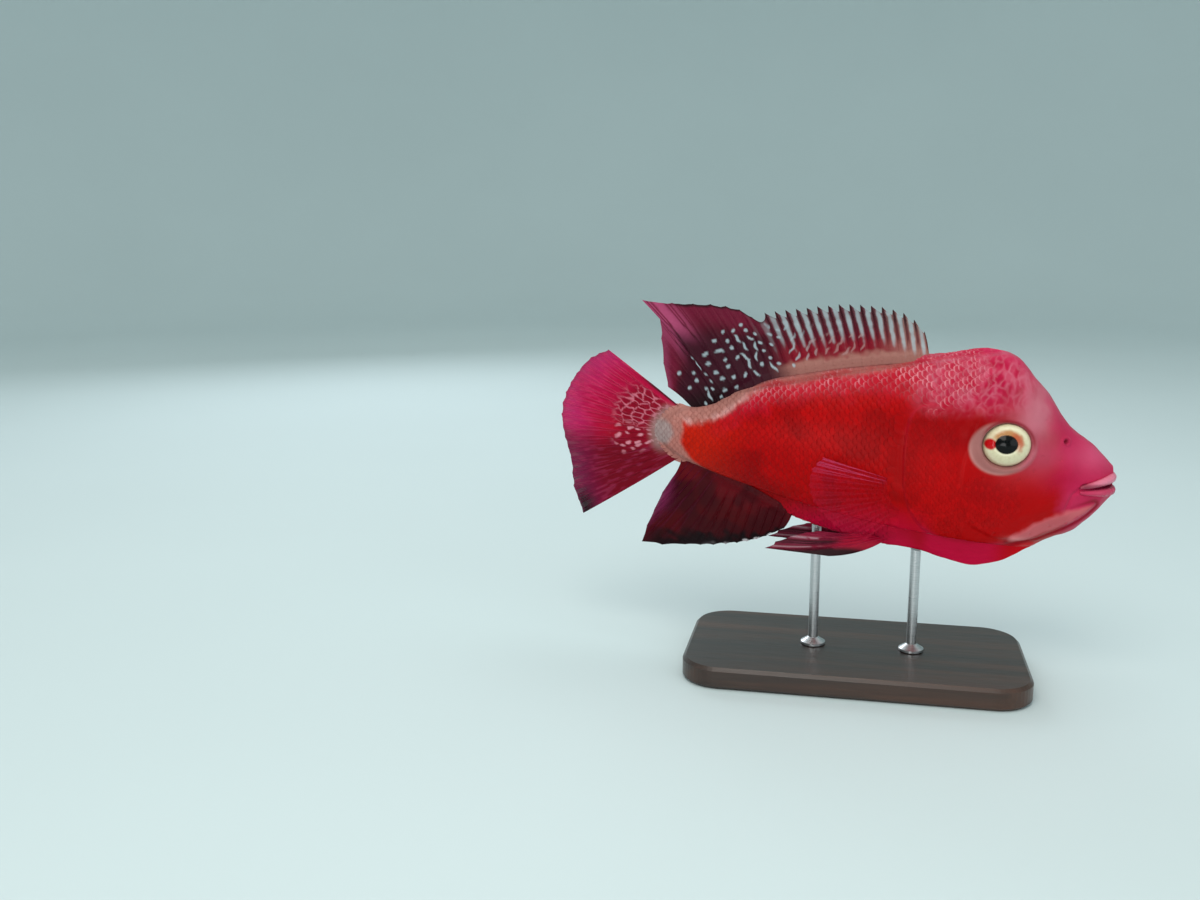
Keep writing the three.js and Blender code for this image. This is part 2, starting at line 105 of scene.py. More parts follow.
def mound(x: Array, z: Array, centre: Knot, radii: Knot) -> Array:
    """A round bell in the side view.

    Args:
        x: Places along the fish.
        z: Heights.
        centre: The bell's (x, z).
        radii: Its reach along x and z.

    Returns:
        Numbers from 0 to 1.
    """
    return np.exp(-(((x - centre[0]) / radii[0]) ** 2) - ((z - centre[1]) / radii[1]) ** 2)


def rgb(code: str) -> Array:
    """A colour code such as #a01020 as three linear numbers."""
    shown = np.array([int(code[i : i + 2], 16) / 255 for i in (1, 3, 5)])
    return np.where(shown <= 0.04045, shown / 12.92, ((shown + 0.055) / 1.055) ** 2.4)


def over(under: Array, code: str, share: Array) -> Array:
    """Lays a colour over others.

    Args:
        under: Colours as rows.
        code: The colour that is laid over them.
        share: How much of it shows, from 0 to 1, for each row.

    Returns:
        The new colours.
    """
    share = np.clip(share, 0, 1)[..., None]
    return under * (1 - share) + rgb(code) * share


@dataclass(frozen=True)
class Noise:
    """Soft random values on a lattice, the same in each run."""

    seed: int
    cells: int = 32

    @cached_property
    def table(self) -> Array:
        """The lattice's values."""
        return np.random.default_rng(self.seed).random((self.cells,) * 3)

    def at(self, size: float, *axes: Array) -> Array:
        """Noise at points.

        Args:
            size: Distance between lattice values.
            axes: Two or three arrays of coordinates.

        Returns:
            Numbers from 0 to 1.
        """
        spots = np.stack([np.broadcast_to(a, axes[0].shape) for a in axes], -1) / size
        if len(axes) == 2:
            spots = np.concatenate([spots, np.zeros(spots.shape[:-1] + (1,))], -1)
        low = np.floor(spots).astype(int)
        part = spots - low
        part = part * part * (3 - 2 * part)
        total = np.zeros(spots.shape[:-1])
        for corner in np.ndindex(2, 2, 2):
            place = (low + corner) % self.cells
            share = np.prod(np.where(np.array(corner) == 1, part, 1 - part), -1)
            total += share * self.table[place[..., 0], place[..., 1], place[..., 2]]
        return total

    def cloud(self, size: float, x: Array, y: Array, z: Array) -> Array:
        """Noise of three sizes at once, each on a lattice turned another way.

        Args:
            size: Size of the largest spots.
            x: Places along the fish.
            y: Distances from the middle plane.
            z: Heights.

        Returns:
            Numbers from 0 to 1, mostly near 0.5.
        """
        total = np.zeros(x.shape)
        for c, s, share, shrink in ((0.94, 0.34, 0.5, 1), (0.8, -0.6, 0.32, 0.55), (-0.28, 0.96, 0.18, 0.29)):
            total += share * self.at(size * shrink, c * x + s * z, y + 0.3 * x, c * z - s * x)
        return total


@dataclass(frozen=True)
class Cells:
    """Irregular cells, each round a random point of a lattice."""

    seed: int
    count: int = 32
    stray: float = 0.72

    def at(self, u: Array, v: Array) -> tuple[Array, Array]:
        """Looks up the cells.

        Args:
            u: First coordinates, one lattice step apart.
            v: Second coordinates.

        Returns:
            Distances to the nearest point, and how much farther the next one lies.
        """
        table = np.random.default_rng(self.seed).random((self.count, self.count, 2))
        column, row = np.floor(u).astype(int), np.floor(v).astype(int)
        first = np.full(u.shape, 9.0)
        second = np.full(u.shape, 9.0)
        for step in np.ndindex(3, 3):
            i, j = column + step[0] - 1, row + step[1] - 1
            place = 0.5 + self.stray * (table[i % self.count, j % self.count] - 0.5)
            gap = np.hypot(i + place[..., 0] - u, j + place[..., 1] - v)
            second = np.minimum(second, np.maximum(first, gap))
            first = np.minimum(first, gap)
        return first, second - first


@dataclass(frozen=True)
class Curve:
    """A smooth curve through (x, value) knots."""

    knots: tuple[Knot, ...]

    def __call__(self, x: Array) -> Array:
        """The curve's value at x, flat past its ends."""
        places, values = np.array(self.knots, float).T
        slopes = np.empty(len(places))
        slopes[1:-1] = (values[2:] - values[:-2]) / (places[2:] - places[:-2])
        slopes[0] = (values[1] - values[0]) / (places[1] - places[0])
        slopes[-1] = (values[-1] - values[-2]) / (places[-1] - places[-2])
        x = np.asarray(x, float)
        i = np.clip(np.searchsorted(places, x, side="right") - 1, 0, len(places) - 2)
        step = places[i + 1] - places[i]
        t = np.clip((x - places[i]) / step, 0, 1)
        t2, t3 = t * t, t * t * t
        return (
            values[i] * (2 * t3 - 3 * t2 + 1)
            + slopes[i] * step * (t3 - 2 * t2 + t)
            + values[i + 1] * (3 * t2 - 2 * t3)
            + slopes[i + 1] * step * (t3 - t2)
        )


@dataclass(frozen=True)
class Line:
    """A smooth line in the side view, through (x, z) knots."""

    knots: tuple[Knot, ...]
    closed: bool = False
    count: int = 72

    @cached_property
    def samples(self) -> Array:
        """Points along the line."""
        knots = np.array(self.knots, float)
        if self.closed:
            knots = np.vstack([knots, knots[:1]])
            before, after = knots[-2:-1], knots[1:2]
        else:
            before, after = 2 * knots[:1] - knots[1:2], 2 * knots[-1:] - knots[-2:-1]
        path = np.vstack([before, knots, after])
        t = np.linspace(0, len(knots) - 1, self.count + 1)
        i = np.clip(t.astype(int), 0, len(knots) - 2)
        f = (t - i)[:, None]
        a, b, c, d = path[i], path[i + 1], path[i + 2], path[i + 3]
        return 0.5 * (
            2 * b + (c - a) * f + (2 * a - 5 * b + 4 * c - d) * f**2 + (3 * b - a - 3 * c + d) * f**3
        )

    def distance(self, x: Array, z: Array) -> Array:
        """Distance from points to the line, more than 0 to its left, or inside it where it is closed.

        Args:
            x: Places along the fish.
            z: Heights.

        Returns:
            Signed distances.
        """
        nearest = np.full(np.shape(x), 1e9)
        turn = np.ones(np.shape(x))
        crossings = np.zeros(np.shape(x), int)
        for (x0, z0), (x1, z1) in zip(self.samples[:-1], self.samples[1:]):
            dx, dz = x1 - x0, z1 - z0
            share = np.clip(((x - x0) * dx + (z - z0) * dz) / (dx * dx + dz * dz + 1e-12), 0, 1)
            gap = np.hypot(x - x0 - share * dx, z - z0 - share * dz)
            closer = gap < nearest
            nearest = np.where(closer, gap, nearest)
            turn = np.where(closer, np.sign(dx * (z - z0) - dz * (x - x0)), turn)
            if self.closed and dz:
                crosses = ((z0 > z) != (z1 > z)) & (x < x0 + (z - z0) * dx / dz)
                crossings += crosses
        if self.closed:
            return np.where(crossings % 2 == 1, nearest, -nearest)
        return nearest * turn


# Shape of the fish


TAIL_SWING = 13.0
SWING_REACH = 105.0
STALK_Z = 85.3


def swing(x: Array) -> Array:
    """How far to the left the tail has swung at x."""
    return np.where(x < 0, TAIL_SWING * (x / SWING_REACH) ** 2, 0)


@dataclass(frozen=True)
class Body:
    """The fish's body without fins, as cross-sections along x."""

    back: Curve = Curve((
        (-77, 91), (-69, 95.8), (-60, 95.2), (-50, 98.9), (-37, 107.8), (-18, 112.5), (4, 115.7), (26, 117.5),
        (42, 119.6), (51, 116.9), (60, 107.2), (69, 94.4), (78, 87), (84.6, 80.2),
    ))
    belly: Curve = Curve((
        (-77, 79.5), (-69, 74.4), (-55, 70.3), (-40, 64.4), (-24, 56.6), (-8, 51.6), (8, 48.2), (22, 46.2),
        (30, 43.8), (40, 41.9), (50, 44.2), (59, 49.5), (64, 52.8), (73, 56.9), (79, 62.8), (84.6, 69.4),
    ))
    half_width: Curve = Curve((
        (-77, 0.9), (-69, 3.6), (-55, 6.2), (-40, 9.6), (-20, 13.6), (0, 16.6), (18, 17.8), (34, 17.6),
        (48, 16), (60, 13.8), (72, 10.2), (80, 7.2), (84.6, 3),
    ))
    widest: Curve = Curve(((-77, 85.3), (-40, 86), (0, 81), (20, 76), (40, 73.5), (75, 73), (84.6, 74.4)))
    back_ridge: Curve = Curve((
        (-77, 1), (-50, 1.1), (-20, 1.25), (10, 1.2), (24, 1.05), (36, 0.82), (50, 0.74), (62, 0.82),
        (84.6, 1),
    ))
    belly_keel: Curve = Curve((
        (-77, 1), (-55, 1.15), (-30, 1.2), (-5, 0.95), (10, 0.85), (24, 1), (38, 1.35), (56, 1.35), (66, 1.1),
        (84.6, 1),
    ))
    tail_end: float = -77
    snout: float = 84.6

    def plain(self, x: Array, angle: Array) -> Array:
        """Points of the smooth body.

        Args:
            x: Places along the fish.
            angle: Angles from the back, by the left side, to the belly.

        Returns:
            Points as rows.
        """
        up, side = np.cos(angle), np.sin(angle)
        middle = self.widest(x)
        reach = np.where(up > 0, self.back(x) - middle, middle - self.belly(x))
        power = np.where(up > 0, self.back_ridge(x), self.belly_keel(x))
        y = np.sign(side) * self.half_width(x) * np.abs(side) ** power
        return np.stack([np.broadcast_to(x, y.shape), y, middle + reach * up], -1)

    def normal(self, x: Array, angle: Array) -> Array:
        """Outward directions of the smooth body, as rows."""
        along = self.plain(np.minimum(x + 0.4, self.snout), angle) - self.plain(x - 0.4, angle)
        around = self.plain(x, angle + 0.01) - self.plain(x, angle - 0.01)
        out = np.cross(along, around)
        return out / np.maximum(np.linalg.norm(out, axis=-1, keepdims=True), 1e-9)

    def half_arc(self, x: float) -> tuple[Array, Array]:
        """Fine angles over the left half of a cross-section, and the arc run from the back to each."""
        angles = np.linspace(0, math.pi, 721)
        points = self.plain(np.full(angles.shape, x), angles)
        steps = np.linalg.norm(np.diff(points, axis=0), axis=1)
        return angles, np.concatenate([[0], np.cumsum(steps)])

    def even_angles(self, x: float, count: int) -> Array:
        """Angles evenly spaced by arc over the left half of a cross-section, from back to belly."""
        angles, arc = self.half_arc(x)
        return np.interp(np.linspace(0, arc[-1], count), arc, angles)


@dataclass(frozen=True)
class Relief:
    """What the skin adds to the smooth body: plates, folds, rims and pits, and the colours of each region."""

    body: Body = Body()
    cover: Line = Line((
        (15.2, 96.5), (13.8, 88), (13.7, 79), (14.4, 71), (17.2, 63), (22.5, 57), (29, 54), (37, 53.2),
        (39, 60), (37.2, 72), (35.6, 84), (33.5, 96), (25, 101.5), (18.5, 100.6),
    ), closed=True)
    cheek_edge: Line = Line(((36.5, 92), (33.6, 82), (33.2, 71), (36.5, 61.5), (44, 56.2), (53, 54.6)))
    cover_seam: Line = Line(((34.5, 66), (27, 63.8), (19, 64.5), (14.6, 68)))
    throat: Line = Line(((66, 50.5), (61, 52.6), (54, 52.8), (44, 51.2), (35, 50.8), (27, 53.2), (20, 58)))
    jaw_band: Line = Line((
        (78.2, 67.6), (72, 66.4), (64, 64), (56.5, 60), (51, 56), (51.6, 53.9), (58, 55), (66, 58.2),
        (74.5, 63.4),
    ), closed=True)
    jaw_fold: Line = Line(((73.4, 73.4), (70.6, 71.2), (69.4, 68), (68.6, 65)))
    brow: Line = Line(((58.5, 92.5), (53.5, 97.5), (46, 99.6), (38, 97.6), (34.6, 92)))
    eye: Knot = (47.6, 88.3)
    eye_radii: Knot = (8.2, 7.5)
    nostril: Knot = (67.5, 89.3)
    mouth_z: float = 74.1
    noise: Noise = Noise(7)
    cells: Cells = Cells(14)
    pore_spots: tuple[Knot, ...] = (
        (59.5, 84.6), (57.2, 79.8), (52.2, 76.8), (46, 75.8), (40, 77.2), (36.2, 81.4), (60.6, 96.6),
        (66.2, 83.2), (35, 74), (34.6, 67), (38, 60.8), (45.4, 57.2), (57.2, 57.4), (63.4, 60.2), (69, 61.4),
        (74.4, 63.6),
    )

    def eye_ring(self, x: Array, z: Array) -> Array:
        """Distance from the eye's middle, in eye radii."""
        return np.hypot((x - self.eye[0]) / self.eye_radii[0], (z - self.eye[1]) / self.eye_radii[1])

    def ring_reach(self, x: Array, z: Array) -> Array:
        """How far the bare ring round the eye reaches, in eye radii: farthest behind and below."""
        across = (x - self.eye[0]) / self.eye_radii[0]
        up = (z - self.eye[1]) / self.eye_radii[1]
        length = np.maximum(np.hypot(across, up), 1e-6)
        across, up = across / length, up / length
        return 1.34 * across**2 + 1.17 * up**2 - 0.16 * across - 0.13 * up

    def gill_cover(self, x: Array, z: Array) -> Array:
        """Height of the gill cover's plates, with a crisp hind edge."""
        inside = self.cover.distance(x, z)
        hind = 1 - smooth(25, 33, x)
        width = 0.55 + 6 * (1 - hind)
        height = 0.28 * smooth(-0.1, 1, inside / width) - 0.1 * bell(inside + 0.45, 0.6) * hind
        front = self.cheek_edge.distance(x, z)
        height += 0.35 * smooth(-0.5, 0.7, front) * bell(np.maximum(front, 0), 9)
        return height - 0.16 * bell(self.cover_seam.distance(x, z), 0.45) * smooth(-0.5, 1.5, inside)

    def jaws(self, x: Array, z: Array) -> Array:
        """Height of the jaws, their folds and the membrane under the throat."""
        below = self.throat.distance(x, z)
        at_throat = smooth(18, 27, x) * (1 - smooth(60, 68, x))
        height = (0.3 * smooth(0, 3, below) - 0.3 * bell(below, 1)) * at_throat
        ribs = 0.14 * np.sin(below * 2.6) * smooth(0.6, 2, below) * (1 - smooth(7, 10, below))
        height += ribs * at_throat
        band = self.jaw_band.distance(x, z)
        height += 0.55 * smooth(-0.6, 1.4, band)
        height -= 0.4 * bell(band + 1, 0.6) * smooth(2, -2, z - (52 + 0.62 * (x - 51)))
        return height - 0.45 * bell(self.jaw_fold.distance(x, z), 0.6) * smooth(63, 67, z)

    def eye_socket(self, x: Array, z: Array) -> Array:
        """Height of the fleshy mound, fold and groove round the eye."""
        ring = self.eye_ring(x, z)
        height = 0.4 * np.exp(-((ring / 1.45) ** 4)) + 0.35 * bell(ring - 1.14, 0.12)
        height -= 2.4 * (1 - smooth(0.94, 1.05, ring))
        height -= 0.2 * bell(ring - self.ring_reach(x, z), 0.08) * (1 - smooth(48, 55, x))
        return height + 0.35 * bell(self.brow.distance(x, z), 2)

    def height(self, x: Array, y: Array, z: Array) -> Array:
        """Height of the skin over the smooth body.

        Args:
            x: Places along the fish.
            y: Distances from the middle plane.
            z: Heights.

        Returns:
            Heights in millimetres.
        """
        side = smooth(1.5, 5, np.abs(y))
        height = (self.gill_cover(x, z) + self.jaws(x, z) + self.eye_socket(x, z)) * side
        pit = np.hypot(x - self.nostril[0], z - self.nostril[1])
        height += 0.4 * bell(pit - 1.15, 0.45) - 1.3 * bell(pit, 0.62)
        for px, pz in self.pore_spots:
            height -= 0.3 * bell(np.hypot(x - px, z - pz), 0.42) * side
        height += 0.7 * mound(x, z, (53, 72), (10, 8)) * side
        height -= 0.6 * mound(x, z, (38, 103), (6, 5)) * side
        height -= 0.5 * mound(x, z, (63, 82), (5, 6)) * side
        height += 0.6 * mound(x, z, (13, 69.5), (2.4, 5)) * side
        fleshy = smooth(24, 34, x) * smooth(96, 104, z) * (1 - smooth(62, 72, x))
        height += 0.7 * (self.noise.at(6.5, x, y, z) - 0.5) * fleshy
        height += 0.22 * (self.noise.at(2.6, x, y, z) - 0.5) * smooth(20, 30, x)
        sheath = bell(y, 3.0) * smooth(-64, -58, x) * (1 - smooth(20, 23, x))
        height += 0.12 * sheath * (z > self.body.widest(x))
        vent = bell(y, 2.4) * smooth(-67, -62, x) * (1 - smooth(-26, -22, x))
        return height + 0.1 * vent * (z < self.body.widest(x))

    def surface(self, x: Array, angle: Array, lift: Array) -> tuple[Array, Array]:
        """Points a little off the finished skin.

        Args:
            x: Places along the fish.
            angle: Angles round the body.
            lift: Distances off the skin.

        Returns:
            The points before the tail is swung, and the same points with it swung.
        """
        plain = self.body.plain(x, angle)
        height = self.height(*np.moveaxis(plain, -1, 0)) + lift
        straight = plain + self.body.normal(x, angle) * height[..., None]
        rounded = straight[..., 0] - 0.11 * (straight[..., 2] - STALK_Z) ** 2
        straight[..., 1] *= 1 - 0.87 * smooth(-72.5, -77, rounded)
        return straight, bent(straight)

    def depth(self, x: Array, z: Array) -> Array:
        """How far below the back's outline a point lies."""
        return self.body.back(x) - z

    def netted(self, x: Array, z: Array) -> Array:
        """Where the scales have pale edges, as on the upper back and the nape."""
        below = self.depth(x, z)
        low = 8 + 9 * smooth(5, 26, x)
        reach = smooth(1.5, 4, below + 4 * smooth(14, 24, x)) * (1 - smooth(low - 3, low + 4, below))
        patchy = 0.35 + 0.65 * smooth(0.36, 0.6, self.noise.cloud(5, x, x * 0, z))
        return reach * patchy * smooth(-50, -30, x) * (1 - smooth(32, 46, x))

    def trunk_colour(self, x: Array, y: Array, z: Array) -> Array:
        """Colours of the flanks, back and belly."""
        below = self.depth(x, z)
        under = z - self.body.belly(x)
        soft = self.noise.cloud(12, x, y, z)
        fine = self.noise.cloud(4, x, y, z)
        colour = np.broadcast_to(rgb("#a20002"), x.shape + (3,))
        colour = over(colour, "#860002", 0.75 * smooth(0.45, 0.62, soft))
        colour = over(colour, "#b81c04", 0.85 * smooth(-36, -62, x + 8 * (soft - 0.5)))
        rose = (1 - smooth(52, 68, z + 8 * (soft - 0.5))) * smooth(-42, -12, x)
        colour = over(colour, "#b40630", 0.9 * rose)
        lowest = 1 - smooth(0, 8, under)
        colour = over(colour, "#cc1444", 0.6 * lowest * smooth(-30, -5, x))
        rosy = 1 - smooth(5, 15, below + 9 * (fine - 0.5))
        colour = over(colour, "#b4142e", 0.85 * rosy * smooth(-60, -40, x))
        thick = 4.6 + 0.8 * smooth(-30, -60, x) - 1.4 * smooth(-5, 20, x)
        tan = 1 - smooth(thick - 1.6, thick + 2, below + 3 * (fine - 0.5))
        colour = over(colour, "#a2736a", 0.94 * tan * (1 - smooth(14, 27, x)))
        pale = smooth(0.42, 0.58, self.noise.cloud(2.6, x, y, z))
        colour = over(colour, "#cc9c98", 0.7 * bell(below - thick + 0.4, 1.2) * smooth(-30, -44, x) * pale)
        colour = over(colour, "#b07c76", 0.7 * (1 - smooth(0.8, 2.4, under)) * (1 - smooth(-60, -50, x)))
        stalk = smooth(-64.6, -67, x - 0.05 * (z - STALK_Z) ** 2 + 3 * (fine - 0.5))
        colour = over(colour, "#a8756c", 0.9 * stalk)
        patch = np.hypot(x + 73.6, z - 85.6)
        return over(colour, "#9a8a88", 0.95 * (1 - smooth(3.4, 5.8, patch + 2 * (fine - 0.5))))

    def nape_colour(self, under: Array, x: Array, y: Array, z: Array) -> Array:
        """Colours of hump, nape and brow, laid over others.

        Args:
            under: Colours of the rest of the head.
            x: Places along the fish.
            y: Distances from the middle plane.
            z: Heights.

        Returns:
            The new colours.
        """
        soft = self.noise.cloud(13, x, y, z)
        streak = self.noise.cloud(5.2, x * 1.5 - 0.3 * z, y, z * 0.62)
        spots = self.noise.cloud(3.6, x, y, z)
        top = smooth(94, 107, z + 8 * (soft - 0.5) + 0.12 * (x - 40)) * smooth(8, 26, x)
        colour = over(under, "#b32c4c", 0.92 * top)
        colour = over(colour, "#9c0a2a", 0.85 * top * smooth(0.47, 0.58, streak) * smooth(26, 36, x))
        colour = over(colour, "#c46a7e", 0.45 * top * smooth(0.47, 0.38, streak))
        nape = top * (1 - smooth(32, 44, x + 6 * (soft - 0.5)))
        colour = over(colour, "#c87c8a", 0.35 * nape * smooth(0.46, 0.6, spots))
        tall = 2.7 + 1.6 * smooth(38, 50, x)
        _, border = self.cells.at((x + 5 * (spots - 0.5)) / 2.7, (z - 105 + 5 * (streak - 0.5)) / tall)
        core = smooth(0, 0.5, border)
        mesh = top * (1 - smooth(48, 60, x + 8 * (soft - 0.5))) * (0.5 + 0.5 * smooth(0.4, 0.6, spots))
        colour = over(colour, "#c06a7e", 0.55 * mesh * (1 - core))
        colour = over(colour, "#ae1240", 0.6 * mesh * core)
        colour = over(colour, "#c02c58", 0.7 * (1 - smooth(0, 4.5, self.depth(x, z))) * smooth(24, 34, x))
        brow = mound(x - 0.35 * (z - 99), z, (58.5, 99), (8, 13))
        colour = over(colour, "#b56a78", 1.05 * brow)
        return over(colour, "#ae4258", 0.85 * mound(x, z, (61, 85), (8, 7)))

    def eye_surround(self, under: Array, x: Array, z: Array) -> Array:
        """The grey-pink ring round the eye and a painted brow shadow over it, laid over other colours."""
        ring = self.eye_ring(x, z)
        reach = self.ring_reach(x, z)
        inside = 1 - smooth(reach - 0.12, reach + 0.1, ring)
        colour = over(under, "#96706c", 0.82 * inside)
        colour = over(colour, "#b05468", 0.7 * inside * smooth(49, 55, x))
        rear = (1 - smooth(86, 94, z)) * (1 - smooth(44, 52, x))
        colour = over(colour, "#c4948e", 0.5 * bell(ring - reach + 0.04, 0.06) * rear)
        # Painted shadow of the brow: a dark crimson line over the upper half of the eye.
        upper = smooth(88, 93, z + 0.3 * (x - 47.6))
        colour = over(colour, "#7c0a1e", 0.75 * bell(ring - 1.1, 0.07) * upper)
        return over(colour, "#5c2420", 0.6 * (1 - smooth(0.95, 1, ring)))

    def head_colour(self, x: Array, y: Array, z: Array) -> Array:
        """Colours of the head: nape, brow, snout, cheek and jaws."""
        soft = self.noise.cloud(11, x, y, z)
        fine = self.noise.cloud(4.5, x, y, z)
        colour = np.broadcast_to(rgb("#a40305"), x.shape + (3,))
        upper = smooth(80, 92, z + 10 * (soft - 0.5)) * (1 - smooth(98, 106, z))
        colour = over(colour, "#860004", 0.8 * upper)
        colour = over(colour, "#8e0004", 0.6 * mound(x, z, (43, 73), (8, 6)))
        colour = self.nape_colour(colour, x, y, z)
        snout = smooth(61, 71, x + 0.2 * (z - 80) + 6 * (fine - 0.5))
        colour = over(colour, "#b32450", 0.9 * snout)
        colour = over(colour, "#bf4c6e", 0.8 * mound(x, z, (78, 84.5), (8, 5)))
        colour = over(colour, "#a20c34", 0.7 * mound(x, z, (66, 77), (6, 4.5)))
        chin = smooth(64, 72, x + 4 * (fine - 0.5)) * (1 - smooth(70, 74, z))
        colour = over(colour, "#b42a50", 0.75 * chin)
        below = self.throat.distance(x, z)
        throat = smooth(-1, 1.5, below) * smooth(20, 26, x)
        # The throat's own crimson, painted brighter than it is: painted light that makes up for the little
        # light the underside gets.
        colour = over(colour, "#c80e40", 0.9 * throat * (1 - smooth(44, 56, x)))
        colour = over(colour, "#c80418", 0.8 * throat * smooth(44, 56, x) * (1 - smooth(62, 68, x)))
        seam = bell(below + 0.7, 1.1) * smooth(18, 24, x) * (1 - smooth(46, 52, x))
        colour = over(colour, "#b81848", 0.5 * seam)
        band = self.jaw_band.distance(x, z)
        colour = over(colour, "#bc6066", 0.9 * smooth(-0.5, 1.4, band + 2.5 * (fine - 0.5)))
        colour = over(colour, "#d88c8c", 0.7 * mound(x, z, (53, 55), (3, 1.1)))
        fold = bell(band + 1.2, 0.8) * smooth(3, 0, z - (54 + 0.55 * (x - 51)))
        colour = over(colour, "#7c0014", 0.8 * fold)
        colour = self.eye_surround(colour, x, z)
        edge = self.cover.distance(x, z)
        colour = over(colour, "#b41c38", 0.45 * bell(edge - 0.3, 0.5) * (1 - smooth(20, 30, x)))
        pit = np.hypot(x - self.nostril[0], z - self.nostril[1])
        colour = over(colour, "#4a0612", 0.9 * bell(pit, 0.7))
        slit = bell(z - self.mouth_z, 0.8) * smooth(72.4, 74.5, x)
        return over(colour, "#2c040a", slit)

    def colour(self, x: Array, y: Array, z: Array) -> Array:
        """Colours at points before the tail is swung.

        Args:
            x: Places along the fish.
            y: Distances from the middle plane.
            z: Heights.

        Returns:
            Linear colours as rows.
        """
        share = smooth(10, 26, x + 0.12 * (z - 76))[..., None]
        return self.trunk_colour(x, y, z) * (1 - share) + self.head_colour(x, y, z) * share


def bent(points: Array) -> Array:
    """Points with the tail swung to the left."""
    moved = points.copy()
    moved[..., 1] += swing(points[..., 0])
    return moved


# Shaders


class Socket:
    """One output of a node. Arithmetic on it adds Math nodes."""

    def __init__(self, shader: "Shader", output: bpy.types.NodeSocket) -> None:
        """Keeps the shader it belongs to and the output."""
        self.shader = shader
        self.output = output

    def _math(self, operation: str, first: object, second: object) -> "Socket":
        """A Math node of two values."""
        return self.shader.node("ShaderNodeMath", {"operation": operation}, {0: first, 1: second})

    def __add__(self, other: object) -> "Socket":
        """The sum."""
        return self._math("ADD", self, other)

    def __mul__(self, other: object) -> "Socket":
        """The product."""
        return self._math("MULTIPLY", self, other)

    def sine(self) -> "Socket":
        """The sine."""
        return self._math("SINE", self, 0.0)


class Shader:
    """A material under construction."""

    def __init__(self, name: str, **constants: object) -> None:
        """Starts a material.

        Args:
            name: The material's name.
            constants: Values of the surface's sockets, with _ for a space.
        """
        self.material = bpy.data.materials.new(name)
        self.material.use_nodes = True
        self.tree = self.material.node_tree
        self.surface = next(n for n in self.tree.nodes if n.type == "BSDF_PRINCIPLED")
        for key, value in constants.items():
            self.surface.inputs[key.replace("_", " ")].default_value = value

    def node(self, kind: str, settings: dict, inputs: dict, output: int | str = 0) -> Socket:
        """Adds a node.

        Args:
            kind: The node's type.
            settings: Its properties, and the stops of a ramp as (place, colour) pairs.
            inputs: Values or sockets for its inputs.
            output: Which output to return.

        Returns:
            The output.
        """
        made = self.tree.nodes.new(kind)
        for key, value in settings.items():
            if key == "stops":
                ramp = made.color_ramp
                ramp.elements[0].position = value[0][0]
                ramp.elements[0].color = value[0][1]
                ramp.elements[1].position = value[-1][0]
                ramp.elements[1].color = value[-1][1]
                for place, colour in value[1:-1]:
                    ramp.elements.new(place).color = colour
            else:
                setattr(made, key, value)
        for key, value in inputs.items():
            if isinstance(value, Socket):
                self.tree.links.new(value.output, made.inputs[key])
            else:
                made.inputs[key].default_value = value
        return Socket(self, made.outputs[output])

    def attribute(self, name: str, output: str = "Fac") -> Socket:
        """A value or colour kept on the mesh."""
        return self.node("ShaderNodeAttribute", {"attribute_name": name}, {}, output)

    def place(self) -> Socket:
        """Coordinates of the piece, in metres."""
        return self.node("ShaderNodeTexCoord", {}, {}, "Object")

    def stretched(self, scale: Sequence[float]) -> Socket:
        """Coordinates of the piece, scaled along each axis."""
        return self.node("ShaderNodeMapping", {}, {"Vector": self.place(), "Scale": scale})

    def noise(self, where: Socket, scale: float, detail: float = 3.0) -> Socket:
        """A noise texture's value."""
        inputs = {"Vector": where, "Scale": scale, "Detail": detail}
        return self.node("ShaderNodeTexNoise", {}, inputs)

    def mix(self, share: object, first: object, second: object, blend: str = "MIX") -> Socket:
        """A mix of two colours.

        Args:
            share: How much of the second shows.
            first: A colour or a socket.
            second: A colour or a socket.
            blend: How the second is laid on.

        Returns:
            The mixed colour.
        """
        settings = {"data_type": "RGBA", "blend_type": blend}
        return self.node("ShaderNodeMix", settings, {0: share, 6: first, 7: second}, 2)

    def worn(self, colour: Socket, share: float, pattern: Socket, dark: str, light: str) -> None:
        """Feeds the surface's colour, softly darkened and lightened by a pattern.

        Args:
            colour: The colour to start from.
            share: How much of the pattern shows.
            pattern: Where it lightens.
            dark: Code of the pattern's dark colour.
            light: Code of its light colour.
        """
        shade = self.mix(pattern, rgba(dark), rgba(light))
        self.feed("Base Color", self.mix(share, colour, shade, "SOFT_LIGHT"))

    def bump(self, height: Socket, strength: float, distance: float) -> None:
        """Feeds the surface's normal from a height."""
        inputs = {"Height": height, "Strength": strength, "Distance": distance}
        self.feed("Normal", self.node("ShaderNodeBump", {}, inputs))

    def feed(self, name: str, socket: Socket) -> None:
        """Links a socket to one of the surface's inputs."""
        self.tree.links.new(socket.output, self.surface.inputs[name])


def rgba(code: str) -> tuple[float, float, float, float]:
    """A colour code as four linear numbers."""
    red, green, blue = rgb(code)
    return (red, green, blue, 1.0)


SHEEN_TINT = (1.0, 0.2, 0.2, 1.0)


@dataclass(frozen=True)
class FleshFinish:
    """Satin skin whose colours lie on the mesh."""

    name: str
    roughness: float = 0.42
    coat: float = 0.02
    sheen: float = 0.22
    grain: float = 900.0
    relief: float = 0.25

    def material(self) -> bpy.types.Material:
        """Makes the material."""
        shader = Shader(self.name, Coat_Weight=self.coat, Coat_Roughness=0.3, Specular_IOR_Level=self.sheen)
        shader.surface.inputs["Specular Tint"].default_value = SHEEN_TINT
        tint = shader.attribute("tint", "Color")
        where = shader.place()
        fine = shader.noise(where, self.grain)
        broad = shader.noise(where, self.grain / 6)
        shader.worn(tint, 0.22, broad, "#5a1018", "#ffe0e0")
        shader.feed("Roughness", broad * 0.16 + (self.roughness - 0.08))
        shader.bump(fine + broad * 0.6, self.relief, 0.00025)
        return shader.material


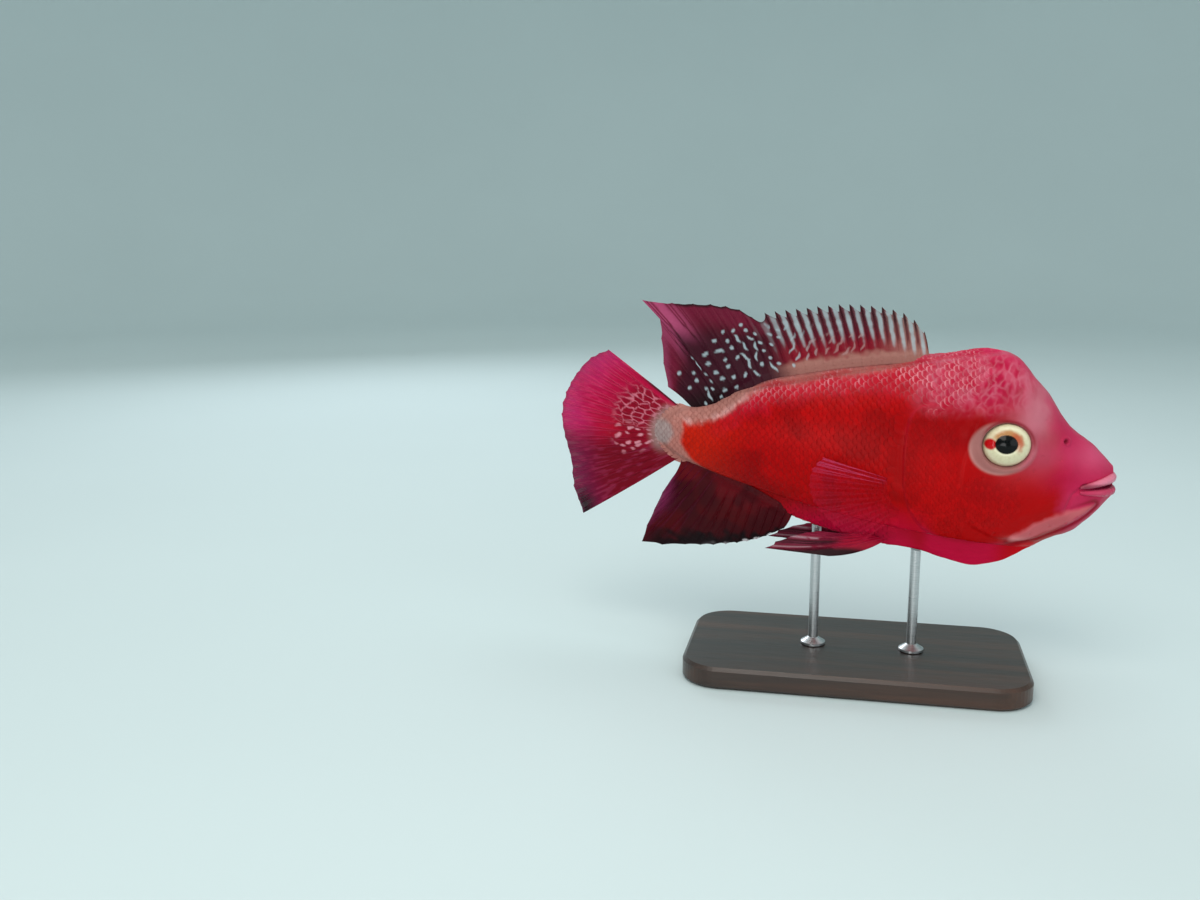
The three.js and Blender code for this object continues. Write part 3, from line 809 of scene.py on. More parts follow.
@dataclass(frozen=True)
class ScaleFinish:
    """Scales with fine growth rings that run round from the root."""

    roughness: float = 0.38
    coat: float = 0.02
    rings: float = 46.0

    def material(self) -> bpy.types.Material:
        """Makes the material."""
        shader = Shader("scale", Coat_Weight=self.coat, Coat_Roughness=0.25, Specular_IOR_Level=0.25)
        shader.surface.inputs["Specular Tint"].default_value = SHEEN_TINT
        tint = shader.attribute("tint", "Color")
        growth = shader.attribute("growth")
        fine = shader.noise(shader.place(), 1400.0)
        shader.worn(tint, 0.14, fine, "#701018", "#ffd8d8")
        shader.feed("Roughness", fine * 0.14 + (self.roughness - 0.07))
        shader.bump((growth * self.rings).sine() * 0.5 + fine, 0.18, 0.00015)
        return shader.material


@dataclass(frozen=True)
class FinFinish:
    """Fin web and rays, with the rays' joints as fine bars."""

    name: str
    roughness: float = 0.4
    joints: float = 5.5

    def material(self) -> bpy.types.Material:
        """Makes the material."""
        shader = Shader(self.name, Coat_Weight=0.01, Coat_Roughness=0.3, Specular_IOR_Level=0.08)
        tint = shader.attribute("tint", "Color")
        ray = shader.attribute("ray")
        along = shader.attribute("along")
        fine = shader.noise(shader.place(), 1100.0)
        shader.worn(tint, 0.2, fine, "#400810", "#ffe8ec")
        shader.feed("Roughness", fine * 0.16 + (self.roughness - 0.08))
        shader.feed("Alpha", shader.attribute("cover"))
        shader.bump((along * self.joints).sine() * ray * 0.6 + fine * 0.5, 0.35, 0.0002)
        return shader.material


@dataclass(frozen=True)
class EyeFinish:
    """A glossy painted eye."""

    def material(self) -> bpy.types.Material:
        """Makes the material."""
        shader = Shader("eye", Coat_Weight=0.2, Coat_Roughness=0.03, Specular_IOR_Level=0.1)
        tint = shader.attribute("tint", "Color")
        fleck = shader.noise(shader.place(), 1600.0)
        shader.worn(tint, 0.25, fleck, "#503020", "#fff4e0")
        shader.feed("Roughness", fleck * 0.06 + 0.16)
        return shader.material


@dataclass(frozen=True)
class WoodFinish:
    """Dark stained wood with its grain along x."""

    dark: str = "#20130d"
    light: str = "#4a2e1e"

    def material(self) -> bpy.types.Material:
        """Makes the material."""
        shader = Shader("stained_wood", Coat_Weight=0.25, Coat_Roughness=0.25)
        rings = shader.noise(shader.stretched((6.0, 120.0, 120.0)), 1.0, 4.0)
        pores = shader.noise(shader.stretched((90.0, 1500.0, 1500.0)), 1.0, 2.0)
        stops = [(0.36, rgba(self.dark)), (0.5, rgba("#332015")), (0.66, rgba(self.light))]
        grain = shader.node("ShaderNodeValToRGB", {"stops": stops}, {"Fac": rings}, "Color")
        shader.worn(grain, 0.5, pores, "#0c0705", "#b89a80")
        shader.feed("Roughness", pores * 0.2 + 0.3)
        shader.bump(pores + rings * 0.4, 0.2, 0.0002)
        return shader.material


@dataclass(frozen=True)
class SteelFinish:
    """Steel brushed round the rod."""

    def material(self) -> bpy.types.Material:
        """Makes the material."""
        shader = Shader("brushed_steel", Metallic=1.0)
        brushed = shader.noise(shader.stretched((60.0, 60.0, 5000.0)), 1.0, 2.0)
        shader.feed("Base Color", shader.mix(brushed, rgba("#a8a9ab"), rgba("#d4d5d6")))
        shader.feed("Roughness", brushed * 0.2 + 0.2)
        shader.bump(brushed, 0.12, 0.0001)
        return shader.material


@dataclass(frozen=True)
class FloorFinish:
    """A pale matt floor."""

    def material(self) -> bpy.types.Material:
        """Makes the material."""
        shader = Shader("pale_floor", Roughness=0.85, Specular_IOR_Level=0.2)
        cloud = shader.noise(shader.place(), 3.0, 2.0)
        shader.feed("Base Color", shader.mix(cloud, rgba("#c6d3d4"), rgba("#cddadb")))
        return shader.material


# Meshes


def turn_outwards(mesh: bpy.types.Mesh) -> None:
    """Turns the faces of a closed mesh outwards where they look inwards."""
    shape = bmesh.new()
    shape.from_mesh(mesh)
    if shape.calc_volume(signed=True) < 0:
        mesh.flip_normals()
    shape.free()


def make_piece(
    name: str,
    points: Array,
    faces: Sequence[Sequence[int]],
    material: bpy.types.Material,
    colours: Array | None = None,
    values: dict[str, Array] | None = None,
    sharp: float | None = None,
    closed: bool = True,
) -> bpy.types.Object:
    """Makes a mesh object.

    Args:
        name: The piece's name.
        points: Points in millimetres, as rows.
        faces: Corners of each face.
        material: Its material.
        colours: Linear colours of the points, kept as the attribute tint.
        values: Further numbers of the points, by attribute name.
        sharp: Angle in degrees past which an edge is shaded sharp.
        closed: Whether it is closed, so that its faces can be turned outwards.

    Returns:
        The object.
    """
    mesh = bpy.data.meshes.new(name)
    mesh.from_pydata((points * MM).tolist(), [], faces)
    mesh.update()
    if closed:
        turn_outwards(mesh)
    mesh.shade_smooth()
    if sharp is not None:
        mesh.set_sharp_from_angle(angle=math.radians(sharp))
    if colours is not None:
        tint = mesh.color_attributes.new("tint", "FLOAT_COLOR", "POINT")
        filled = np.ones((len(points), 4), np.float32)
        filled[:, :3] = np.clip(colours, 0, 1)
        tint.data.foreach_set("color", filled.ravel())
    for key, value in (values or {}).items():
        kept = mesh.attributes.new(key, "FLOAT", "POINT")
        kept.data.foreach_set("value", np.ascontiguousarray(value, np.float32))
    mesh.materials.append(material)
    made = bpy.data.objects.new(name, mesh)
    bpy.context.scene.collection.objects.link(made)
    return made


def grid_faces(rows: int, columns: int, start: int = 0, closed: bool = False, turned: bool = False) -> Array:
    """Four-cornered faces of a grid of points.

    Args:
        rows: Rows of points.
        columns: Points in a row.
        start: Number of the first point.
        closed: Whether each row closes on itself.
        turned: Whether the faces look the other way.

    Returns:
        Corners as rows.
    """
    row = np.arange(rows - 1)[:, None]
    column = np.arange(columns if closed else columns - 1)[None, :]
    beside = (column + 1) % columns
    a = row * columns + column
    b = row * columns + beside
    c = (row + 1) * columns + beside
    d = (row + 1) * columns + column
    faces = np.stack([a, b, c, d], -1).reshape(-1, 4) + start
    return faces[:, ::-1] if turned else faces


@dataclass
class Skin:
    """One skin over head, trunk and tail stalk."""

    relief: Relief
    coarse: float = 0.6
    fine: float = 0.34
    head_from: float = 6.0
    around: int = 230
    cap_rings: int = 6
    cap_bulge: float = 0.5
    inset: float = 0.14
    mouth_pinch: float = 0.3
    mouth_depth: float = 2.5
    finish: FleshFinish = FleshFinish("skin")
    nodes: tuple[str, ...] = (
        "head", "nuchal_hump", "lower_jaw", "throat", "trunk", "tail_stalk",
        "gill_cover_left", "gill_cover_right",
    )

    def stations(self) -> Array:
        """Places of the cross-sections, closest at the snout."""
        body = self.relief.body
        rear = np.arange(body.tail_end, self.head_from, self.coarse)
        head = np.arange(self.head_from, body.snout - 4, self.fine)
        tip = body.snout - 4 * np.linspace(1, 0, 28) ** 1.6
        return np.concatenate([rear, head, tip])

    def snout_cap(self, last: Array) -> Array:
        """Rings that close the snout's blunt front, one inside the other.

        Args:
            last: The skin's foremost ring.

        Returns:
            The rings, from the outside in.
        """
        body = self.relief.body
        centre = np.array([last[:, 0].mean(), 0, (body.back(body.snout) + body.belly(body.snout)) / 2])
        share = 1 - np.arange(1, self.cap_rings + 1)[:, None] / (self.cap_rings + 0.4)
        rings = centre + (last - centre) * share[..., None]
        rings[..., 0] += self.cap_bulge * (1 - share)
        return rings

    def build(self) -> bpy.types.Object:
        """Makes the skin."""
        body = self.relief.body
        stations = self.stations()
        half = np.array([body.even_angles(x, self.around + 1) for x in stations])
        angles = np.concatenate([half, 2 * math.pi - half[:, -2:0:-1]], 1)
        x = np.repeat(stations[:, None], angles.shape[1], 1)
        points, _ = self.relief.surface(x, angles, -self.inset * (1 - smooth(10, 26, x)))
        colours = self.relief.colour(*np.moveaxis(points, -1, 0))
        mouth = bell(points[..., 2] - self.relief.mouth_z, 0.62) * smooth(72.8, 77, x)
        points[..., 1] *= 1 - self.mouth_pinch * mouth
        points[..., 0] -= self.mouth_depth * mouth * smooth(80, 84, x)
        grid = np.concatenate([points, self.snout_cap(points[-1])])
        shade = np.concatenate([colours, np.repeat(colours[-1:], self.cap_rings, 0)])
        rows, columns = grid.shape[:2]
        faces = grid_faces(rows, columns, closed=True).tolist()
        faces.append(list(range(columns))[::-1])
        faces.append([(rows - 1) * columns + i for i in range(columns)])
        made = make_piece(
            "skin", bent(grid).reshape(-1, 3), faces, self.finish.material(), shade.reshape(-1, 3))
        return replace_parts(made, *self.nodes)


@dataclass(frozen=True)
class AngleTable:
    """Angles round the body's left side, by place along the fish and distance from the widest line."""

    body: Body
    rear: float
    front: float
    step: float = 0.5
    arc_step: float = 0.25
    arc_reach: float = 64

    @cached_property
    def stations(self) -> Array:
        """Places along the fish."""
        return np.arange(self.rear, self.front, self.step)

    @cached_property
    def arcs(self) -> Array:
        """Distances round the body, more than 0 towards the back."""
        return np.arange(-self.arc_reach, self.arc_reach, self.arc_step)

    @cached_property
    def table(self) -> Array:
        """The angles, a row for each station."""
        rows = []
        for x in np.clip(self.stations, self.body.tail_end, self.body.snout):
            angles, run = self.body.half_arc(x)
            middle = np.interp(math.pi / 2, angles, run)
            rows.append(np.interp(middle - self.arcs, run, angles))
        return np.array(rows)

    def at(self, x: Array, arc: Array) -> Array:
        """Looks angles up, straight between the table's entries.

        Args:
            x: Places along the fish.
            arc: Distances round the body.

        Returns:
            The angles.
        """
        i = np.clip((x - self.stations[0]) / self.step, 0, len(self.stations) - 1.001)
        j = np.clip((arc - self.arcs[0]) / self.arc_step, 0, len(self.arcs) - 1.001)
        i0, j0 = i.astype(int), j.astype(int)
        fi, fj = i - i0, j - j0
        near = self.table[i0, j0] * (1 - fj) + self.table[i0, j0 + 1] * fj
        far = self.table[i0 + 1, j0] * (1 - fj) + self.table[i0 + 1, j0 + 1] * fj
        return near * (1 - fi) + far * fi


@dataclass
class ScaleCoat:
    """Overlapping scales in offset rows, each a small curved plate rooted in the skin."""

    relief: Relief
    name: str
    side: Side
    front: float
    rear: float
    pitch: Curve
    row_step: float
    keep: Callable[[Array, Array, Array], Array]
    lift: float = 0.25
    shade: float = 0.25
    seed: int = 11
    finish: ScaleFinish = ScaleFinish()
    length: float = 1.5
    width: float = 1.16
    stray: float = 0.09
    beyond: float = 8
    pale_edge: str = "#d88e98"
    red_middle: str = "#a80a26"
    dark_edge: str = "#640004"
    patch: float = 0.003
    girth: float = 130
    along_cuts: tuple[float, ...] = (0, 0.3, 0.52, 0.7, 0.84, 0.94, 1, 1.001)
    across_cuts: tuple[float, ...] = (-1, -0.72, -0.38, 0, 0.38, 0.72, 1)

    def lattice(self) -> Array:
        """Places for roots, as rows of x, distance round the body and size."""
        places = []
        x = self.front
        rows = np.arange(-60, 61)
        while x > self.rear:
            size = float(self.pitch(x))
            arcs = rows * self.row_step * size / float(self.pitch(0))
            shift = np.where(rows % 2 == 0, 0, size / 2)
            places.append(np.stack([x - shift, arcs, np.full(rows.shape, size)], -1))
            x -= size
        return np.concatenate(places)

    def roots(self, table: AngleTable) -> Array:
        """Roots of the scales that grow, as rows like the lattice's."""
        spots = self.lattice()
        angles = table.at(spots[:, 0], spots[:, 1])
        flat = self.relief.body.plain(spots[:, 0], angles)
        inside = (angles > 0.02) & (angles < math.pi - 0.02)
        return spots[self.keep(flat[:, 0], flat[:, 1], flat[:, 2]) & inside]

    def colours(self, straight: Array, a: Array, b: Array, tone: Array) -> Array:
        """Colours of the scales: the skin's, with pale edges where it is netted and dark ones elsewhere.

        Args:
            straight: Points before the tail is swung.
            a: Shares of the length of a scale's points.
            b: Shares of the width.
            tone: How bright each scale is, from -1 to 1.

        Returns:
            Linear colours.
        """
        colours = self.relief.colour(*np.moveaxis(straight, -1, 0))
        colours = colours * (1 + 0.1 * tone[:, None, None, None])
        rim = np.maximum(smooth(0.82, 0.95, a), smooth(0.7, 1, np.abs(b)) * smooth(0.35, 0.6, a))
        margin = np.broadcast_to(rim, straight.shape[:-1])
        net = self.relief.netted(straight[..., 0], straight[..., 2])
        bright = (0.7 + 0.2 * tone)[:, None, None]
        colours = over(colours, self.pale_edge, bright * margin * net)
        colours = over(colours, self.red_middle, 0.6 * (1 - margin) * net)
        bare = (1 - net) * (1 - smooth(20, 32, straight[..., 0]) * smooth(94, 100, straight[..., 2]))
        return over(colours, self.dark_edge, self.shade * margin * bare)

    def build(self) -> bpy.types.Object:
        """Makes the scales of one side."""
        body = self.relief.body
        table = AngleTable(body, self.rear - self.beyond, self.front + self.beyond)
        roots = self.roots(table)
        count = len(roots)
        chance = np.random.default_rng(self.seed + self.side.value)
        roots[:, :2] += chance.uniform(-self.stray, self.stray, (count, 2)) * roots[:, 2:]
        tone = chance.uniform(-1, 1, count)
        turn = chance.uniform(-0.05, 0.05, count)[:, None, None]
        a = np.array(self.along_cuts)[:, None]
        b = np.array(self.across_cuts)[None, :]
        round_off = np.sqrt(np.clip(1 - np.clip((a - 0.42) / 0.6, 0, 1) ** 2.4, 0, 1))
        root_x, root_arc, size = (roots[:, i][:, None, None] for i in range(3))
        reach = a * size * self.length
        wide = b * (0.8 + 0.2 * np.minimum(a / 0.4, 1)) * round_off
        spread = wide * self.row_step * self.width * size / float(self.pitch(0))
        x = root_x + size * 0.35 - reach * np.cos(turn)
        arc = root_arc + spread + reach * np.sin(turn)
        x = np.clip(np.broadcast_to(x, arc.shape), body.tail_end, body.snout)
        angle = table.at(x, arc)
        angle = angle if self.side is Side.LEFT else 2 * math.pi - angle
        rise = -0.9 + 1.9 * np.minimum(a, 1) - 0.22 * b**2 - 1.7 * (a > 1)
        lift = self.lift * (1 - 0.55 * smooth(24, 44, x))
        straight, swung = self.relief.surface(x, angle, lift * rise)
        colours = self.colours(straight, a, b, tone)
        rows, columns = len(self.along_cuts), len(self.across_cuts)
        one = grid_faces(rows, columns, turned=self.side is Side.LEFT)
        faces = (one[None] + np.arange(count)[:, None, None] * rows * columns).reshape(-1, 4)
        growth = np.broadcast_to(np.hypot(a, b * 0.6), x.shape).reshape(-1)
        made = make_piece(
            self.name, swung.reshape(-1, 3), faces.tolist(), self.finish.material(),
            colours.reshape(-1, 3), {"growth": growth}, closed=False)
        self.unwrap(made, roots, a, b, x.shape)
        LOG.info("%s: %d scales", self.name, count)
        return made

    def unwrap(
        self, made: bpy.types.Object, roots: Array, a: Array, b: Array, shape: tuple[int, ...]
    ) -> None:
        """Gives each scale a patch of its own on an unwrap of the skin.

        Args:
            made: The joined scales.
            roots: Roots as rows of x, distance round the body and size.
            a: Shares of the length of a scale's points.
            b: Shares of the width.
            shape: Scales, points along and points across.
        """
        body = self.relief.body
        u = (roots[:, 0] - body.tail_end) / (body.snout - body.tail_end)
        v = 0.5 + roots[:, 1] / self.girth
        u = 0.02 + 0.96 * np.clip(u, 0, 1)
        place_u = np.broadcast_to(u[:, None, None] + (a - 0.5) * self.patch, shape)
        place_v = np.broadcast_to(v[:, None, None] + b * self.patch / 2, shape)
        flat = np.stack([place_u, place_v], -1).reshape(-1, 2)
        corners = np.empty(len(made.data.loops), int)
        made.data.loops.foreach_get("vertex_index", corners)
        unwrapped = made.data.uv_layers.new(name="OFBake")
        unwrapped.data.foreach_set("uv", flat[corners].astype(np.float32).ravel())


@dataclass
class Lips:
    """Fleshy rolls round the mouth."""

    relief: Relief
    corner: Knot = (72.8, 9.7)
    front_x: float = 84.3
    thick: float = 1.65
    corner_thick: float = 0.5
    steps: int = 96
    sides: int = 28
    inside: str = "#7a1c34"
    rolls: tuple[tuple[float, float, str], ...] = ((76.35, 73.75, "#d27c92"), (71.85, 72.05, "#bb3f60"))

    def roll(self, front_z: float, corner_z: float, code: str) -> tuple[Array, Array]:
        """Points and colours of one lip.

        Args:
            front_z: Height of its middle at the front.
            corner_z: Height of its middle at the corners.
            code: Its colour.

        Returns:
            Points and colours, ring by ring.
        """
        t = np.linspace(-math.pi / 2, math.pi / 2, self.steps)[:, None]
        ahead, side = np.cos(t), np.sin(t)
        swell = 1 + 0.05 * np.sin(t * 37) + 0.04 * np.sin(t * 61 + 1)
        thick = self.corner_thick + (self.thick - self.corner_thick) * np.abs(ahead) ** 0.7 * swell
        round_ = np.linspace(0, 2 * math.pi, self.sides, endpoint=False)[None, :]
        length = np.hypot(ahead, side)
        x = self.corner[0] + (self.front_x - self.corner[0]) * ahead + thick * np.cos(round_) * ahead / length
        y = self.corner[1] * side + thick * np.cos(round_) * side / length
        z = corner_z + (front_z - corner_z) * ahead + thick * np.sin(round_) * 0.98
        points = np.stack([x, y, z], -1)
        colours = self.relief.head_colour(x, y, z)
        shown = (0.35 + 0.65 * smooth(0.05, 0.6, ahead)) * (0.55 + 0.45 * np.cos(round_))
        inner = smooth(1.4, 0.5, np.abs(z - self.relief.mouth_z))
        return points, over(over(colours, code, shown), self.inside, 0.6 * inner)

    def build(self) -> list[bpy.types.Object]:
        """Makes both lips."""
        material = FleshFinish("lip", roughness=0.34, coat=0.25, grain=700, relief=0.3).material()
        made = []
        for name, (front_z, corner_z, code) in zip(("upper_lip", "lower_lip"), self.rolls):
            points, colours = self.roll(front_z, corner_z, code)
            faces = grid_faces(self.steps, self.sides, closed=True, turned=True).tolist()
            faces.append(list(range(self.sides)))
            faces.append([(self.steps - 1) * self.sides + i for i in range(self.sides)][::-1])
            piece = make_piece(
                f"{name}_roll", points.reshape(-1, 3), faces, material, colours.reshape(-1, 3))
            made.append(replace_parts(piece, name))
        return made


@dataclass
class Eye:
    """An eyeball with a black pupil in an ivory iris."""

    side: Side
    centre: tuple[float, float, float] = (47.6, 12.7, 88.3)
    radii: tuple[float, float, float] = (8.2, 5.5, 7.5)
    forward: float = math.radians(8)
    pupil: Knot = (3.65, 3.15)
    pupil_at: Knot = (-1.1, 0.85)
    rings: int = 72
    spokes: int = 112

    def colours(self, x: Array, z: Array) -> Array:
        """Colours by place in the eye's own face.

        Args:
            x: Distances ahead of the eye's middle.
            z: Distances above it.

        Returns:
            Linear colours.
        """
        noise = Noise(23)
        iris = np.hypot(x / self.radii[0], z / self.radii[2])
        x, z = x - self.pupil_at[0], z - self.pupil_at[1]
        pupil = np.hypot(x / self.pupil[0], z / self.pupil[1])
        angle = np.arctan2(z, x)
        spokes = noise.at(0.5, angle * 6, iris * 3)
        blot = noise.at(1.3, x, z)
        colour = np.broadcast_to(rgb("#d6cfae"), x.shape + (3,))
        colour = over(colour, "#b9a882", 0.25 * smooth(0.5, 0.9, spokes))
        top = smooth(-0.15, 0.6, np.sin(angle + 0.15))
        inner = 1 - smooth(1.3, 1.8, pupil + 0.2 * (blot - 0.5))
        colour = over(colour, "#ac6a30", 0.85 * top * inner)
        colour = over(colour, "#b4482a", 0.8 * inner * smooth(0.5, 0.95, np.cos(angle - 0.25)))
        low = np.maximum(-np.sin(angle), 0) ** 0.5
        colour = over(colour, "#f0ead0", 0.6 * bell(pupil - 1.14, 0.09) * low)
        colour = over(colour, "#e4ddc0", 0.6 * bell(iris - 0.82, 0.07))
        rear = np.hypot((x + 4.9) / 1.9, (z + 0.2) / 2.0)
        colour = over(colour, "#b80810", 1 - smooth(0.75, 1.1, rear + 0.15 * (blot - 0.5)))
        colour = over(colour, "#6a3a30", 0.6 * smooth(0.93, 1, iris))
        return over(colour, "#030303", 1 - smooth(0.97, 1.05, pupil))

    def build(self) -> bpy.types.Object:
        """Makes the eyeball."""
        share = np.linspace(0.01, 0.99, self.rings)[:, None]
        polar = math.pi * share * (0.7 + 0.3 * share)
        spoke = np.linspace(0, 2 * math.pi, self.spokes, endpoint=False)[None, :]
        x = self.radii[0] * np.sin(polar) * np.cos(spoke)
        z = self.radii[2] * np.sin(polar) * np.sin(spoke)
        pupil = np.hypot((x - self.pupil_at[0]) / self.pupil[0], (z - self.pupil_at[1]) / self.pupil[1])
        bulge = 0.35 * (1 - smooth(0.2, 1.0, pupil)) - 0.16 * bell(pupil - 1.08, 0.1)
        out = self.radii[1] * np.cos(polar) + bulge * (polar < math.pi / 2)
        colours = self.colours(x, z)
        sign = self.side.value
        y = out * sign
        turn = -self.forward * sign
        points = np.stack([
            self.centre[0] + x * math.cos(turn) - y * math.sin(turn),
            self.centre[1] * sign + x * math.sin(turn) + y * math.cos(turn),
            self.centre[2] + z,
        ], -1)
        faces = grid_faces(self.rings, self.spokes, closed=True, turned=sign < 0).tolist()
        hub = list(range(self.spokes))
        back = [(self.rings - 1) * self.spokes + i for i in hub]
        faces += [hub, back[::-1]] if sign < 0 else [hub[::-1], back]
        made = make_piece(
            f"eyeball_{self.side.word}", points.reshape(-1, 3), faces, EyeFinish().material(),
            colours.reshape(-1, 3))
        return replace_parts(made, f"eye_{self.side.word}")


# Fins


ROOT_DEPTH = 2.6


@dataclass(frozen=True)
class Mark:
    """A pale spot or streak on a fin, in ray numbers and millimetres along the rays."""

    ray: float
    along: float
    length: float
    width: float
    slant: float


def marked(marks: Sequence[Mark], ray: Array, along: Array, spacing: float) -> Array:
    """Where marks lie.

    Args:
        marks: The spots and streaks.
        ray: Ray numbers of the points.
        along: Their distances along the rays.
        spacing: Usual distance between two rays.

    Returns:
        Numbers from 0 to 1.
    """
    shown = np.zeros(ray.shape)
    for mark in marks:
        du = (ray - mark.ray) * spacing
        dv = along - mark.along
        long_way = dv * math.cos(mark.slant) + du * math.sin(mark.slant)
        cross_way = du * math.cos(mark.slant) - dv * math.sin(mark.slant)
        cross_way = cross_way + 0.25 * np.sin(long_way * 1.6 + mark.ray)
        size = np.hypot(long_way / mark.length, cross_way / mark.width)
        shown = np.maximum(shown, 1 - smooth(0.7, 1.25, size))
    return shown


@dataclass
class Fin:
    """A fin of rays and web. Each kind gives its rays and colours, and what else sets it apart."""

    name: str = ""
    node: str = ""
    slot: Slot = Slot.DARK_FINS
    rows: int = 64
    per_gap: int = 16
    web: float = 0.36
    crest: float = 0.5
    edge: float = 0.22
    fringe: float = 0.012
    foot: float = 0.0
    shallow: float = 0.02
    spines: int = 0
    noise: Noise = Noise(31)
    out: tuple[float, float, float] = (0, 1, 0)

    def rays(self) -> tuple[Array, Array, Array]:
        """Roots, tips and bows of the rays, as rows."""
        raise NotImplementedError

    def notch(self, gap: Array) -> Array:
        """Share of the length by which the web stops short between two rays."""
        return np.full(np.shape(gap), self.shallow)

    def scallop(self, gap: Array, share: Array) -> Array:
        """Shape of the web's edge between two rays."""
        return (4 * share * (1 - share)) ** 0.7

    def spiny(self, ray: Array) -> Array:
        """How much a ray is a spine, from 0 to 1."""
        return 1 - smooth(self.spines - 1, self.spines, ray)

    def wave(self, share: Array, s: Array) -> Array:
        """Sideways play of the web."""
        return np.zeros(np.broadcast(share, s).shape)

    def paint(self, ray: Array, s: Array, along: Array, ridge: Array, points: Array) -> tuple[Array, Array]:
        """Colours and cover of the points.

        Args:
            ray: Ray numbers.
            s: Shares of the rays' length.
            along: Distances along the rays.
            ridge: Height of the rays, from 0 to 1.
            points: The points themselves.

        Returns:
            Colours and opaqueness.
        """
        raise NotImplementedError

    def ridges(self, ray: Array, s: Array) -> Array:
        """Height of the rays, which split twice towards the edge where they are soft."""
        off = ray - np.round(ray)
        first = 0.19 * smooth(0.3, 0.75, s)
        second = 0.085 * smooth(0.6, 0.95, s)
        thin = 0.075 - 0.03 * smooth(0.3, 0.8, s)
        soft = np.zeros(off.shape)
        for one in (-1, 1):
            for two in (-1, 1):
                soft = np.maximum(soft, np.exp(-(((off - one * first - two * second) / thin) ** 2)))
        stiff = np.exp(-((off / (0.125 - 0.05 * s)) ** 2))
        spine = self.spiny(ray)
        return stiff * spine + soft * (1 - spine)

    def build(self) -> bpy.types.Object:
        """Makes the fin."""
        roots, tips, bows = self.rays()
        gaps = len(roots) - 1
        columns = gaps * self.per_gap + 1
        ray = (np.arange(columns) / self.per_gap)[:, None]
        s = np.linspace(0, 1, self.rows + 1)[None, :]
        k = np.clip(np.floor(ray).astype(int), 0, gaps - 1)
        f = ray - k
        ragged = self.fringe * self.noise.at(0.23, ray * np.ones_like(ray), ray * 0 + 3)
        reach = s * (1 - self.notch(k) * self.scallop(k, f) - ragged)
        control = (roots + tips) / 2 + bows

        def curve(i: Array) -> Array:
            """Points of the rays numbered i, at the reach."""
            t = reach[..., None]
            return roots[i] * (1 - t) ** 2 + control[i] * 2 * t * (1 - t) + tips[i] * t**2

        middle = curve(k) * (1 - f[..., None]) + curve(k + 1) * f[..., None]
        lengths = np.linalg.norm(tips - roots, axis=1)
        along = (lengths[k] * (1 - f) + lengths[k + 1] * f) * reach
        wide = np.broadcast_to(ray, along.shape)
        spread = np.broadcast_to(s, along.shape)
        ridge = self.ridges(wide, spread)
        out = np.array(self.out, float)
        out = out / np.linalg.norm(out)
        middle = middle + self.wave(ray / gaps, s)[..., None] * out
        half = (self.web + (self.edge - self.web) * spread) / 2
        half = half + self.crest * (1 - 0.72 * spread) * (0.2 + 0.8 * smooth(0.08, 0.36, spread)) * ridge
        ends = smooth(0, 3, wide) * smooth(gaps, gaps - 3, wide)
        half = half + self.foot * ends * bell(np.maximum(along - ROOT_DEPTH + 0.5, 0), 1.5)
        near = middle + half[..., None] * out
        far = middle - half[..., None] * out
        colours, cover = self.paint(wide, spread, along, ridge, middle)
        points = np.concatenate([near.reshape(-1, 3), far.reshape(-1, 3)])
        line = self.rows + 1
        count = columns * line
        faces = [grid_faces(columns, line), grid_faces(columns, line, start=count, turned=True)]
        faces.append(self.rims(columns, line, count))
        both = np.concatenate([colours.reshape(-1, 3)] * 2)
        values = {
            "ray": np.tile(ridge.reshape(-1), 2),
            "along": np.tile(along.reshape(-1), 2),
            "cover": np.tile(cover.reshape(-1), 2),
        }
        made = make_piece(
            self.name, bent(points), np.concatenate(faces).tolist(),
            FinFinish(self.name).material(), both, values, sharp=70)
        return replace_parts(made, self.node)

    def rims(self, columns: int, line: int, count: int) -> Array:
        """Faces that join the fin's two sides round its edge."""
        loop = [c * line for c in range(columns)]
        loop += [(columns - 1) * line + r for r in range(1, line)]
        loop += [c * line + line - 1 for c in range(columns - 2, -1, -1)]
        loop += [r for r in range(line - 2, 0, -1)]
        here = np.array(loop)
        there = np.roll(here, -1)
        return np.stack([here, here + count, there + count, there], -1)


def tips_through(knots: Sequence[Knot], count: int) -> Array:
    """Tips spread along a smooth line.

    Args:
        knots: (ray number, x, z) knots.
        count: Number of rays.

    Returns:
        Tips as rows, in the middle plane.
    """
    number = np.arange(count)
    x = Curve(tuple((k[0], k[1]) for k in knots))(number)
    z = Curve(tuple((k[0], k[2]) for k in knots))(number)
    return np.stack([x, np.zeros(count), z], -1)


